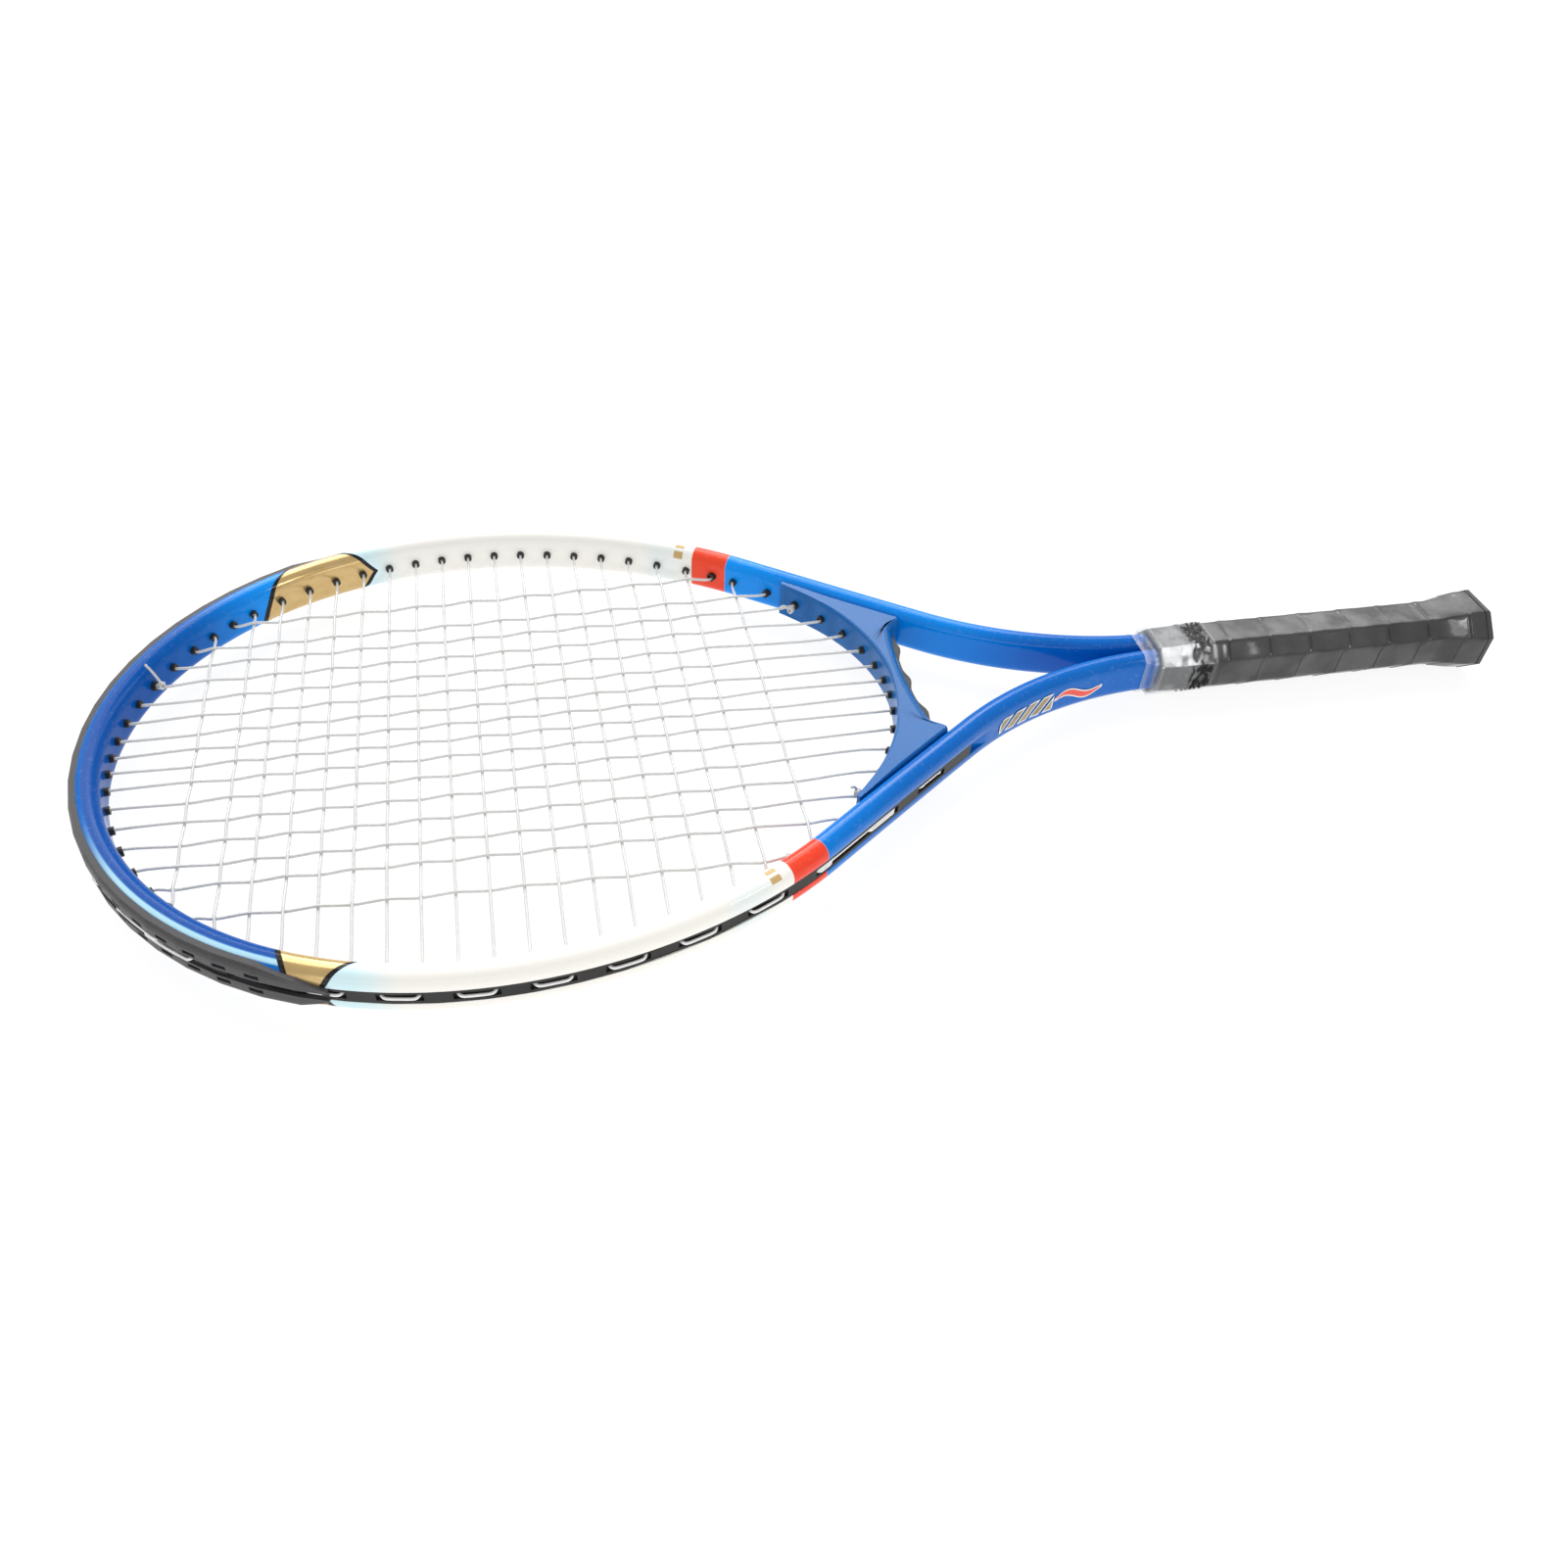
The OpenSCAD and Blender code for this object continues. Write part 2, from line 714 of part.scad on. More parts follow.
module bridge_strip_band(from_y, to_y, inner, outer, height) {
    steps = 28;
    ys = [for (i = [0 : steps]) from_y + (to_y - from_y) * i / steps];
    translate([0, 0, -height / 2])
        linear_extrude(height)
            polygon(concat(
                [for (y = ys) [throat_face(y) + fit_gap + inner * (bridge_strip_rise(y) - loop_ledge), y]],
                [for (y = reversed(ys)) [throat_face(y) + outer + bridge_strip_rise(y), y]]
            ));
}

module loop_recess(i) {
    reach = loop_reaches[i] + loop_margin;
    bridge_strip_band(loop_centers[i] - reach, loop_centers[i] + reach, 1, 2, lane_height);
}

module bridge_grommet_strip() {
    color([0.10, 0.10, 0.11]) translate(row_origin)
        difference() {
            union() {
                bridge_strip_band(-bridge_strip_reach, bridge_strip_reach, 0, 0, groove_height);
                both_sides()
                    for (p = bridge_places)
                        barrel_rod(p, barrel_radius, 0, throat_face(p[0].y) + 1 - p[0].x);
            }
            loop_recess(0);
            both_sides()
                loop_recess(1);
            both_sides()
                for (p = bridge_places)
                    barrel_rod(p, bore_radius, 3, 40);
        }
}

// ---- Strings ----

// A string leaves its barrel this far before a run, settles at its lane's height a little further
// on, and a tied-off end pokes out of its mouth.
run_turn = 1.3;
run_settle = 3.5;
run_spacing = 9;
tie_poke = 1.6;

function at_height(p, z) = [p.x, p.y, z];
function bore_z(p, lane) = lane * (p[4] ? tie_shift : bore_shift);

// Points down a barrel from its mouth to its run, for a string in the lane +1 (up) or -1.
function barrel_points(p, lane) =
    let (reach = norm(path_point(p[2], p[3]) - p[0]))
    [
        at_height(p[0] - p[1] * kink_step, bore_z(p, lane)),
        at_height(p[0] + p[1] * (reach - run_turn), bore_z(p, lane))
    ];

// Points along the outside of the hoop from place a to place b.
function run_points(a, b, lane) =
    let (way = sign(b[2] - a[2]))
    let (gap = abs(b[2] - a[2]))
    let (straight = gap - 2 * run_settle)
    let (steps = max(2, ceil(straight / run_spacing)))
    let (along = concat(
        [run_turn],
        [for (i = [0 : steps]) run_settle + straight * i / steps],
        [gap - run_turn]
    ))
    [
        for (i = [0 : len(along) - 1])
            let (f = along[i] / gap)
            let (end_z = i == 0 ? bore_z(a, lane) : bore_z(b, lane))
            let (z = (i == 0 || i == len(along) - 1) ? (end_z + lane * lane_shift) / 2 : lane * lane_shift)
            at_height(path_point(a[2] + way * along[i], a[3] + (b[3] - a[3]) * f), z)
    ];

function loop_point(y, z) = [bridge_run_x(y), y, z];
function bridge_barrel(p, lane) = [
    [p[0].x - kink_step, p[0].y, lane * bore_shift],
    [bridge_run_x(p[0].y) - run_turn, p[0].y, lane * bore_shift]
];

function mouth_at(k, f) = tip_places[k][0] + f * (throat_places[k][0] - tip_places[k][0]);
function main_fraction(k, x) = (x - tip_places[k][0].x) / (throat_places[k][0].x - tip_places[k][0].x);

// Crossings of main k, from the tip to the throat.
function main_crossings(k) = [
    for (j = [0 : cross_count - 1])
        let (f = main_fraction(k, cross_x(j)))
        let (p = mouth_at(k, f))
        if (f > 0 && f < 1 && p.y < cross_places[j][0].y)
            at_height(p, weave_rise * ((k + j) % 2 == 0 ? 1 : -1))
];

// Crossings of cross j on the +Y side, from the middle outwards.
function cross_crossings(j) = [
    for (k = [0 : main_count - 1])
        let (f = main_fraction(k, cross_x(j)))
        let (p = mouth_at(k, f))
        if (f > 0 && f < 1 && p.y < cross_places[j][0].y)
            at_height(p, -weave_rise * ((k + j) % 2 == 0 ? 1 : -1))
];

function turned(points) = [for (p = points) [p.x, -p.y, -p.z]];

// Lane of the mains: down at the tip and in the outer throat, up where a pair passes a tie-off.
function throat_lane(k) = (k == throat_tie || k == throat_tie + 1) ? 1 : -1;
function throat_end(k) =
    k < bridge_mains ? bridge_barrel(throat_places[k], -1) : barrel_points(throat_places[k], throat_lane(k));
function tip_end(k) = barrel_points(tip_places[k], -1);

// One main from the throat to the tip (down) or back (up), with its barrels.
function main_to_tip(k) = concat(reversed(throat_end(k)), reversed(main_crossings(k)), tip_end(k));
function main_to_throat(k) = concat(reversed(tip_end(k)), main_crossings(k), throat_end(k));

function bridge_loop(k) =
    let (ya = throat_places[k][0].y)
    let (yb = throat_places[k + 1][0].y)
    [for (i = [0 : 4]) loop_point(ya + run_turn + (yb - ya - 2 * run_turn) * i / 4, -bore_shift)];

// A tied-off end, from its run down the barrel and out of the mouth.
function tie_in(p, lane) =
    let (reach = norm(path_point(p[2], p[3]) - p[0]))
    [
        at_height(p[0] + p[1] * (reach - run_turn), lane * tie_shift),
        at_height(p[0] - p[1] * tie_poke, lane * tie_shift)
    ];

half_main_path = concat(
    [loop_point(0, 0), loop_point(throat_places[0][0].y - run_turn, -bore_shift / 2)],
    main_to_tip(0),
    run_points(tip_places[0], tip_places[1], -1),
    main_to_throat(1),
    bridge_loop(1),
    main_to_tip(2),
    run_points(tip_places[2], tip_places[3], -1),
    main_to_throat(3),
    run_points(throat_places[3], throat_places[4], -1),
    main_to_tip(4),
    run_points(tip_places[4], tip_places[5], -1),
    main_to_throat(5),
    run_points(throat_places[5], throat_places[6], 1),
    main_to_tip(6),
    run_points(tip_places[6], tip_places[7], -1),
    main_to_throat(7),
    run_points(throat_places[7], throat_places[throat_tie], -1),
    tie_in(throat_places[throat_tie], -1)
);
main_path = concat(reversed(turned(half_main_path)), [for (i = [1 : len(half_main_path) - 1]) half_main_path[i]]);

function cross_half_out(j) = concat(cross_crossings(j), barrel_points(cross_places[j], 1));
function cross_line(j) =
    j % 2 == 0
        ? concat(reversed(cross_half_out(j)), turned(cross_half_out(j)))
        : concat(reversed(turned(cross_half_out(j))), cross_half_out(j));
function cross_turn(j) =
    let (run = run_points(cross_places[j], cross_places[j + 1], 1))
    j % 2 == 0 ? turned(run) : run;

tip_tie_place = tip_places[tip_tie];
throat_tie_place = throat_places[throat_outer_tie];

cross_path = concat(
    reversed(tie_in(tip_tie_place, 1)),
    run_points(tip_tie_place, cross_places[0], 1),
    [for (j = [0 : cross_count - 1]) each concat(cross_line(j), j < cross_count - 1 ? cross_turn(j) : [])],
    turned(run_points(cross_places[cross_count - 1], throat_tie_place, 1)),
    turned(tie_in(throat_tie_place, 1))
);

string_sides = 6;

module string_along(path) {
    n = len(path);
    points = [
        for (i = [0 : n - 1])
            let (before = unit(path[max(i, 1)] - path[max(i, 1) - 1]))
            let (after = unit(path[min(i, n - 2) + 1] - path[min(i, n - 2)]))
            let (along = unit(before + after))
            let (level = unit(cross([0, 0, 1], along)))
            let (rise = cross(along, level))
            for (q = [0 : string_sides - 1])
                let (a = 360 * q / string_sides)
                path[i] + string_radius * (cos(a) * level + sin(a) * rise)
    ];
    walls = [
        for (i = [0 : n - 2])
            for (q = [0 : string_sides - 1])
                let (a = i * string_sides + q)
                let (b = i * string_sides + (q + 1) % string_sides)
                each [[a, b + string_sides, b], [a, a + string_sides, b + string_sides]]
    ];
    start = [for (q = [0 : string_sides - 1]) q];
    end = [for (q = [string_sides - 1 : -1 : 0]) (n - 1) * string_sides + q];
    polyhedron(points, concat(walls, [start, end]));
}

module main_string() {
    color([0.93, 0.93, 0.90]) translate(row_origin)
        string_along(main_path);
}

module cross_string() {
    color([0.93, 0.93, 0.90]) translate(row_origin)
        string_along(cross_path);
}

// ---- Handle ----

function octagon_points(width, height, cut) = [
    for (corner = [[1, 1], [-1, 1], [-1, -1], [1, -1]])
        let (w = width / 2)
        let (h = height / 2)
        each corner.x * corner.y > 0
            ? [[corner.x * w, corner.y * (h - cut)], [corner.x * (w - cut), corner.y * h]]
            : [[corner.x * (w - cut), corner.y * h], [corner.x * w, corner.y * (h - cut)]]
];

// Extrudes a section, drawn in Y and Z, from x = a to x = b.
module along_x(a, b) {
    translate([a, 0, 0])
        rotate([90, 0, 90])
            linear_extrude(b - a)
                children();
}

// Skins octagons given as [x, width, height, corner cut].
module octagon_loft(stations) {
    points = [
        for (s = stations)
            for (p = octagon_points(s[1], s[2], s[3]))
                [s[0], p.x, p.y]
    ];
    walls = [
        for (k = [0 : len(stations) - 2])
            for (i = [0 : 7])
                let (a = k * 8 + i)
                let (b = k * 8 + (i + 1) % 8)
                each [[a, b + 8, b], [a, a + 8, b + 8]]
    ];
    start = [for (i = [0 : 7]) i];
    end = [for (i = [7 : -1 : 0]) (len(stations) - 1) * 8 + i];
    polyhedron(points, concat(walls, [start, end]));
}

// Outside of the finished grip at x: [width, height, corner cut].
function flare(x) = smooth(clamp((x - flare_from) / (tape_end - flare_from), 0, 1) ^ 0.9);
function grip_size(x) = [
    grip_width + (flare_width - grip_width) * flare(x),
    grip_height + (flare_height - grip_height) * flare(x),
    corner_cut + (flare_corner_cut - corner_cut) * flare(x)
];
function under_size(x) =
    grip_size(x) - [2 * tape_thickness + 2 * fit_gap, 2 * tape_thickness + 2 * fit_gap, 0.75];

module shaft_cavity() {
    for (side = [-1, 1])
        translate([side * shaft_center, 0])
            stadium(tube_width + 2 * fit_gap, beam_height + 2 * fit_gap);
}

module pallet(side) {
    difference() {
        union() {
            along_x(pallet_from, pallet_step)
                polygon(octagon_points(under_width, under_height, under_cut));
            along_x(pallet_step, pallet_end)
                polygon(octagon_points(under_width - 2 * cap_wall, under_height - 2 * cap_wall, under_cut - 0.6));
        }
        along_x(pallet_from - 1, shaft_end + 1)
            shaft_cavity();
        translate([pallet_from - 1, -30, side > 0 ? -60 + fit_gap : -fit_gap])
            cube([200, 60, 60]);
        tacks(0.05, 0);
    }
}

// Two tacks hold the cap to the pallets, one from above and one from below.
tack_x = 661;
tack_radius = 0.7;
tack_length = 5.9;
tack_head_radius = 2;
tack_head = 0.5;
tack_seat = under_height / 2 - tack_head - 0.05;

module tacks(gap, head_gap) {
    for (side = [0, 1])
        mirror([0, 0, side])
            translate([tack_x, 0, tack_seat]) {
                translate([0, 0, -tack_length - gap])
                    cylinder(r = tack_radius + gap, h = tack_length + gap, $fn = 24);
                translate([0, 0, -head_gap])
                    cylinder(r = tack_head_radius + head_gap, h = tack_head + 20 * head_gap, $fn = 32);
            }
}

module pallet_upper() {
    color([0.80, 0.77, 0.68]) translate(row_origin)
        pallet(1);
}

module pallet_lower() {
    color([0.80, 0.77, 0.68]) translate(row_origin)
        pallet(-1);
}

module butt_cap() {
    stations = [
        for (x = [pallet_step + fit_gap, flare_from, 663, 668, 673, 677, tape_end])
            let (s = under_size(x))
            [x, s[0], s[1], s[2]]
    ];
    rim = [
        [tape_end + fit_gap, flare_width, flare_height, flare_corner_cut],
        [butt_end - 1.4, flare_width, flare_height, flare_corner_cut],
        [butt_end, flare_width - 2.4, flare_height - 2.4, flare_corner_cut - 0.7]
    ];
    color([0.16, 0.16, 0.17]) translate(row_origin)
        difference() {
            octagon_loft(concat(stations, rim));
            along_x(pallet_step - 1, pallet_end + 0.5)
                polygon(octagon_points(
                    under_width - 2 * cap_wall + 2 * fit_gap,
                    under_height - 2 * cap_wall + 2 * fit_gap,
                    under_cut - 0.55
                ));
            along_x(pallet_end, butt_end - 3)
                polygon(octagon_points(22, 21, 5));
            tacks(0.05, fit_gap);
        }
}

module butt_cap_tacks() {
    color([0.72, 0.72, 0.74]) translate(row_origin)
        tacks(0, 0);
}

// Grip tape: one ribbon wound round the octagon, its turns edge to edge.
tape_gap = 0.3;
tape_columns = 6;
tape_first = collar_end + fit_gap;
tape_edge_round = 0.35;

function grip_corner(i, x, inset) =
    let (s = grip_size(x))
    octagon_points(s[0] - 2 * inset, s[1] - 2 * inset, s[2] - 0.58 * inset)[i % 8];

function tape_edge_inset(c) = (c == 0 || c == tape_columns) ? tape_edge_round : 0;

module grip_tape() {
    turns = ceil((tape_end - tape_first) / tape_pitch) + 1;
    stations = [0 : turns * 8];
    ribbon = tape_pitch - tape_gap;
    ring = 2 * (tape_columns + 1);
    points = [
        for (i = stations)
            let (x0 = tape_first - tape_pitch * 0.9 + tape_pitch * i / 8)
            each concat(
                [
                    for (c = [0 : tape_columns])
                        let (x = x0 + ribbon * c / tape_columns)
                        let (p = grip_corner(i, x, tape_edge_inset(c)))
                        [x, p.x, p.y]
                ],
                [
                    for (c = [tape_columns : -1 : 0])
                        let (x = x0 + ribbon * c / tape_columns)
                        let (p = grip_corner(i, x, tape_thickness))
                        [x, p.x, p.y]
                ]
            )
    ];
    walls = [
        for (i = [0 : turns * 8 - 1])
            for (q = [0 : ring - 1])
                let (a = i * ring + q)
                let (b = i * ring + (q + 1) % ring)
                each [[a, b + ring, b], [a, a + ring, b + ring]]
    ];
    start = [for (q = [0 : ring - 1]) q];
    end = [for (q = [ring - 1 : -1 : 0]) turns * 8 * ring + q];
    color([0.27, 0.26, 0.26]) translate(row_origin)
        intersection() {
            polyhedron(points, concat(walls, [start, end]));
            translate([tape_first, -40, -40])
                cube([tape_end - tape_first, 80, 80]);
        }
}

module handle_collar() {
    color([0.55, 0.55, 0.56]) translate(row_origin)
        difference() {
            octagon_loft([
                [collar_from, grip_width - 2.6, grip_height - 2.6, corner_cut - 0.9],
                [collar_from + 1.2, grip_width - 1.4, grip_height - 1.4, corner_cut - 0.5],
                [collar_end, grip_width - 0.2, grip_height - 0.2, corner_cut]
            ]);
            along_x(pallet_from - fit_gap, collar_end + 1)
                polygon(octagon_points(under_width + 2 * fit_gap, under_height + 2 * fit_gap, under_cut));
            along_x(collar_from - 1, pallet_from)
                polygon(octagon_points(24.6, 22.6, 3.4));
        }
}

// Clear protective film, shrunk round the shafts and the start of the grip.
film_thickness = 0.3;
film_from = 496;
film_to = 533;
film_size = [grip_width + 0.2, grip_height + 0.2, corner_cut];
film_stations = [
    [film_from, 24.7, 22.6, 3.3],
    [collar_from - 0.7, 26.2, 23.6, 3.8],
    [collar_from + 0.1, film_size[0], film_size[1], film_size[2]],
    [film_to, film_size[0], film_size[1], film_size[2]]
];

module film_skin(grow, longer) {
    last = len(film_stations) - 1;
    octagon_loft([
        for (i = [0 : last])
            let (s = film_stations[i])
            let (x = s[0] + (i == 0 ? -longer : i == last ? longer : 0))
            [x, s[1] + 2 * grow, s[2] + 2 * grow, s[3] + 0.58 * grow]
    ]);
}

module film_sleeve() {
    color([0.85, 0.88, 0.92, 0.35]) translate(row_origin)
        difference() {
            film_skin(film_thickness, 0);
            film_skin(0, 1);
        }
}

module shaft_decal() {
    color([0.92, 0.80, 0.42]) translate(row_origin)
        mirror([0, 1, 0])
            swept_same(
                length_at_x(decal_from), length_at_x(decal_to),
                band_ring(tube_width / 2 + fit_gap, tube_width / 2 + decal_proud, decal_height)
            );
}

frame_tube();
throat_bridge();
bumper_guard();
head_grommet_strip();
side_grommet_strip_left();
side_grommet_strip_right();
bridge_grommet_strip();
main_string();
cross_string();
pallet_upper();
pallet_lower();
handle_collar();
butt_cap();
butt_cap_tacks();
grip_tape();
film_sleeve();
shaft_decal();
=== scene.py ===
import math

import bpy
import numpy as np
from mathutils import Matrix


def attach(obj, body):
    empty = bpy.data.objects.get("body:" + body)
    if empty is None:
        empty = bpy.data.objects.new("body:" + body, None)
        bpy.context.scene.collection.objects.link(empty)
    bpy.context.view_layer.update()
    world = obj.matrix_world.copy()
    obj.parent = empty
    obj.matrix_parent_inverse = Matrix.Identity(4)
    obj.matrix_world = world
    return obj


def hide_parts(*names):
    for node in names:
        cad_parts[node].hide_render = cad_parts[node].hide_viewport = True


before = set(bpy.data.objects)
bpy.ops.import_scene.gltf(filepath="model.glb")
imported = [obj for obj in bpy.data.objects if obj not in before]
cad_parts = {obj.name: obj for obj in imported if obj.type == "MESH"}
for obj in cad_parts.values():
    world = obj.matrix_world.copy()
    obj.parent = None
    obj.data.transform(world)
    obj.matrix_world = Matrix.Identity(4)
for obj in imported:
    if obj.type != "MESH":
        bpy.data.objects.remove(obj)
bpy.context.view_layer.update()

# ---- The shared frame: the design is laid out in millimetres from the head tip ----

LENGTH = 685.0
HALF_HEIGHT = 18.25
ORIGIN = np.array([-LENGTH / 2, 0.0, HALF_HEIGHT])


def row(points):
    """Design millimetres to row-frame metres."""
    return (np.asarray(points, float) + ORIGIN) / 1000.0


# ---- Small helpers ----

scene = bpy.context.scene


def unit(v):
    v = np.asarray(v, float)
    return v / np.linalg.norm(v)


def turn_left(v):
    return np.array([-v[1], v[0]])


def heading(a):
    return np.array([math.cos(a), math.sin(a)])


def smooth(f):
    f = min(max(f, 0.0), 1.0)
    return f * f * (3 - 2 * f)


def bisect(test, low, high, n=40):
    for _ in range(n):
        mid = (low + high) / 2
        if test(mid):
            low = mid
        else:
            high = mid
    return (low + high) / 2


def add_object(name, data):
    obj = bpy.data.objects.new(name, data)
    scene.collection.objects.link(obj)
    return obj


def put_at(obj, right, up, back, at):
    """Place a camera or light by its three axes and its position."""
    matrix = np.eye(4)
    matrix[:3, 0], matrix[:3, 1], matrix[:3, 2], matrix[:3, 3] = right, up, back, at
    obj.matrix_world = Matrix(matrix.tolist())


def sleeve_faces(rows, n):
    """Faces of a closed sleeve of rings with n points each, with a cap at both ends."""
    faces = []
    for i in range(rows - 1):
        for q in range(n):
            a, b = i * n + q, i * n + (q + 1) % n
            faces.append((a, b, b + n, a + n))
    faces.append(tuple(reversed(range(n))))
    faces.append(tuple((rows - 1) * n + q for q in range(n)))
    return faces


def sleeve(name, points, n):
    """Smooth solid through rings of n design points each."""
    mesh = bpy.data.meshes.new(name)
    mesh.from_pydata([tuple(p) for p in row(points)], [], sleeve_faces(len(points) // n, n))
    mesh.validate()
    mesh.update()
    mesh.polygons.foreach_set("use_smooth", [True] * len(mesh.polygons))
    return add_object(name, mesh)


def add_float(obj, name, values):
    layer = obj.data.attributes.new(name, "FLOAT", "POINT")
    layer.data.foreach_set("value", np.asarray(values, np.float32))


def done(obj, material, slot, *nodes):
    """Paint a finished piece, attach it to the root body and hide the CAD nodes it replaces."""
    obj.data.materials.append(material)
    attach(obj, "root")
    if nodes:
        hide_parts(*nodes)


# ---- Camera ----

camera_data = bpy.data.cameras.new("camera")
camera_data.sensor_fit = "AUTO"
camera_data.sensor_width = 36.0
camera_data.lens = 29.408
camera_data.shift_x, camera_data.shift_y = 0.01965, -0.00673
camera_data.clip_start, camera_data.clip_end = 0.02, 20.0
camera = add_object("camera", camera_data)
put_at(
    camera,
    right=(0.98029, -0.19433, 0.03576),
    up=(0.10914, 0.68338, 0.72186),
    back=(-0.16471, -0.70373, 0.69112),
    at=row([197.99, -453.21, 396.96]),
)
scene.camera = camera

# ---- The egg curve through the grommet mouths ----

TUBE_W, BEAM = 10.8, 22.0
MOUTH_PROUD = 2
EGG_C, EGG_A, EGG_B = 191.1, 176.1, 137.6
MOUTH_TO_CENTRE = MOUTH_PROUD + TUBE_W / 2


def egg(t):
    """Point of the curve at angle t, which is 0 at the throat; wider towards the tip."""
    c = math.cos(t)
    swell = 1 - 0.093 * c - 0.009 * c * c + 0.010 * c ** 3
    return np.array([EGG_C + EGG_A * c, EGG_B * math.sin(t) * swell])


def egg_tangent(t):
    return unit(egg(t - 0.001) - egg(t + 0.001))


def egg_offset(t, out):
    return egg(t) + out * turn_left(egg_tangent(t))


def egg_at_y(y, low, high):
    """Angle between two bounds, in degrees, where the curve reaches this y."""
    return math.radians(bisect(lambda a: not egg(math.radians(a))[1] < y, high, low))


# ---- The tube's centre line: tangent arcs from the tip to the handle ----


def arc_from(p, t, q):
    """Arc from p to q that leaves p along t: centre, signed radius, first bearing and length."""
    chord = q - p
    r = chord @ chord / (2 * (turn_left(t) @ chord))
    centre = p + turn_left(t) * r
    swing = 2 * math.asin(min(1.0, np.linalg.norm(chord) / 2 / abs(r)))
    return centre, r, math.atan2(p[1] - centre[1], p[0] - centre[0]), abs(r) * swing


def biarc(p, t1, q, t2):
    """Two tangent arcs from p along t1 to q along t2."""
    v = q - p
    k = 2 * (1 - t1 @ t2)
    vt = v @ (t1 + t2)
    reach = (math.sqrt(vt * vt + k * (v @ v)) - vt) / k
    m = (p + q + reach * (t1 - t2)) / 2
    first = arc_from(p, t1, m)
    return [first, arc_from(m, unit(turn_left(m - first[0]) * np.sign(first[1])), q)]


HOOP_SPANS = 6
HOOP_END_ANGLE = 47
SHAFT_FROM, SHAFT_Y = 508.0, 6.2
SHAFT_BEND, SHAFT_SLOPE = np.array([397.0, 41.0]), math.radians(-35.5)
joints = [(np.array([EGG_C - EGG_A - MOUTH_TO_CENTRE, 0.0]), np.array([0.0, 1.0]))]
for i in range(1, HOOP_SPANS + 1):
    a = math.radians(180 - (180 - HOOP_END_ANGLE) * i / HOOP_SPANS)
    joints.append((egg_offset(a, MOUTH_TO_CENTRE), egg_tangent(a)))
joints.append((SHAFT_BEND, heading(SHAFT_SLOPE)))
joints.append((np.array([SHAFT_FROM, SHAFT_Y]), np.array([1.0, 0.0])))
arcs = []
for (p, t1), (q, t2) in zip(joints, joints[1:]):
    arcs += biarc(p, t1, q, t2)
starts = [0.0]
for _, _, _, arc_length in arcs:
    starts.append(starts[-1] + arc_length)
PATH = starts[-1]
LAST_BEND = starts[-3]


def path_point(s, out=0.0):
    """Point at length s from the tip, offset outwards; negative lengths run down the -Y side."""
    side = -1.0 if s < 0 else 1.0
    s = abs(s)
    if s > PATH:
        return np.array([SHAFT_FROM + s - PATH, side * (SHAFT_Y + out)])
    i = 0
    while i < len(arcs) - 1 and s >= starts[i + 1]:
        i += 1
    centre, r, bearing, _ = arcs[i]
    angle = bearing + (s - starts[i]) / r
    p = centre + (abs(r) - np.sign(r) * out) * heading(angle)
    return np.array([p[0], side * p[1]])


def path_outward(s):
    return unit(path_point(s, 1.0) - path_point(s, 0.0))


def near_length(p):
    """Length along the hoop that is nearest to a point on the +Y side."""
    low, high = 0.0, LAST_BEND
    for _ in range(60):
        third = (high - low) / 3
        near = np.linalg.norm(path_point(low + third) - p)
        far = np.linalg.norm(path_point(high - third) - p)
        if near < far:
            high -= third
        else:
            low += third
    return (low + high) / 2


def length_at_x(x):
    return bisect(lambda s: path_point(s)[0] < x, 0.0, PATH)


# ---- Grommet places on the +Y side ----

GROOVE_DEPTH, GROOVE_H, FIT = 2.4, 7.0, 0.06
STRIP_BASE, HEAD_BASE, RUN_GAP = 0.85, 0.5, 0.08
STRING_R, WEAVE = 0.65, 0.70
RUN_STRIP = TUBE_W / 2 - GROOVE_DEPTH + FIT + STRIP_BASE + RUN_GAP + STRING_R
RUN_BUMPER = TUBE_W / 2 + FIT + HEAD_BASE + RUN_GAP + STRING_R
BORE_SHIFT, TIE_SHIFT, LANE = 0.3, 0.78, 1.08
MAINS, BRIDGE_MAINS, CROSSES = 8, 3, 19
THROAT_SPREAD = 1.067
TIP_TIE, THROAT_TIE, THROAT_OUTER_TIE = 4, 5, 7
gaps = [11, 11.9, 12.6, 12.7, 12.8, 11.7, 18]
main_y = [5.2 + sum(gaps[:k]) for k in range(MAINS)]
throat_y = [y * THROAT_SPREAD for y in main_y]


def cross_x(j):
    """Where cross j meets the egg; the first and the last stand apart from the others."""
    if j == 0:
        return 49.5
    if j == CROSSES - 1:
        return cross_x(j - 1) + 22.8
    return 67 + 12.95 * (j - 1) + 0.05 * (j - 1) ** 2


class Place:
    """A grommet: its mouth, the way of its barrel and its length along the tube."""

    def __init__(self, mouth, string_way, run, tie):
        self.mouth, self.run, self.tie = mouth, run, tie
        if string_way is None:
            self.way = np.array([1.0, 0.0])
            return
        s = near_length(mouth)
        out = path_outward(s)
        self.way = unit(out + 0.35 * np.array(string_way, float))
        gap = (path_point(s) - mouth) @ out
        self.s = near_length(mouth + self.way * (gap + run) / (self.way @ out))
        self.reach = np.linalg.norm(path_point(self.s, run) - mouth)


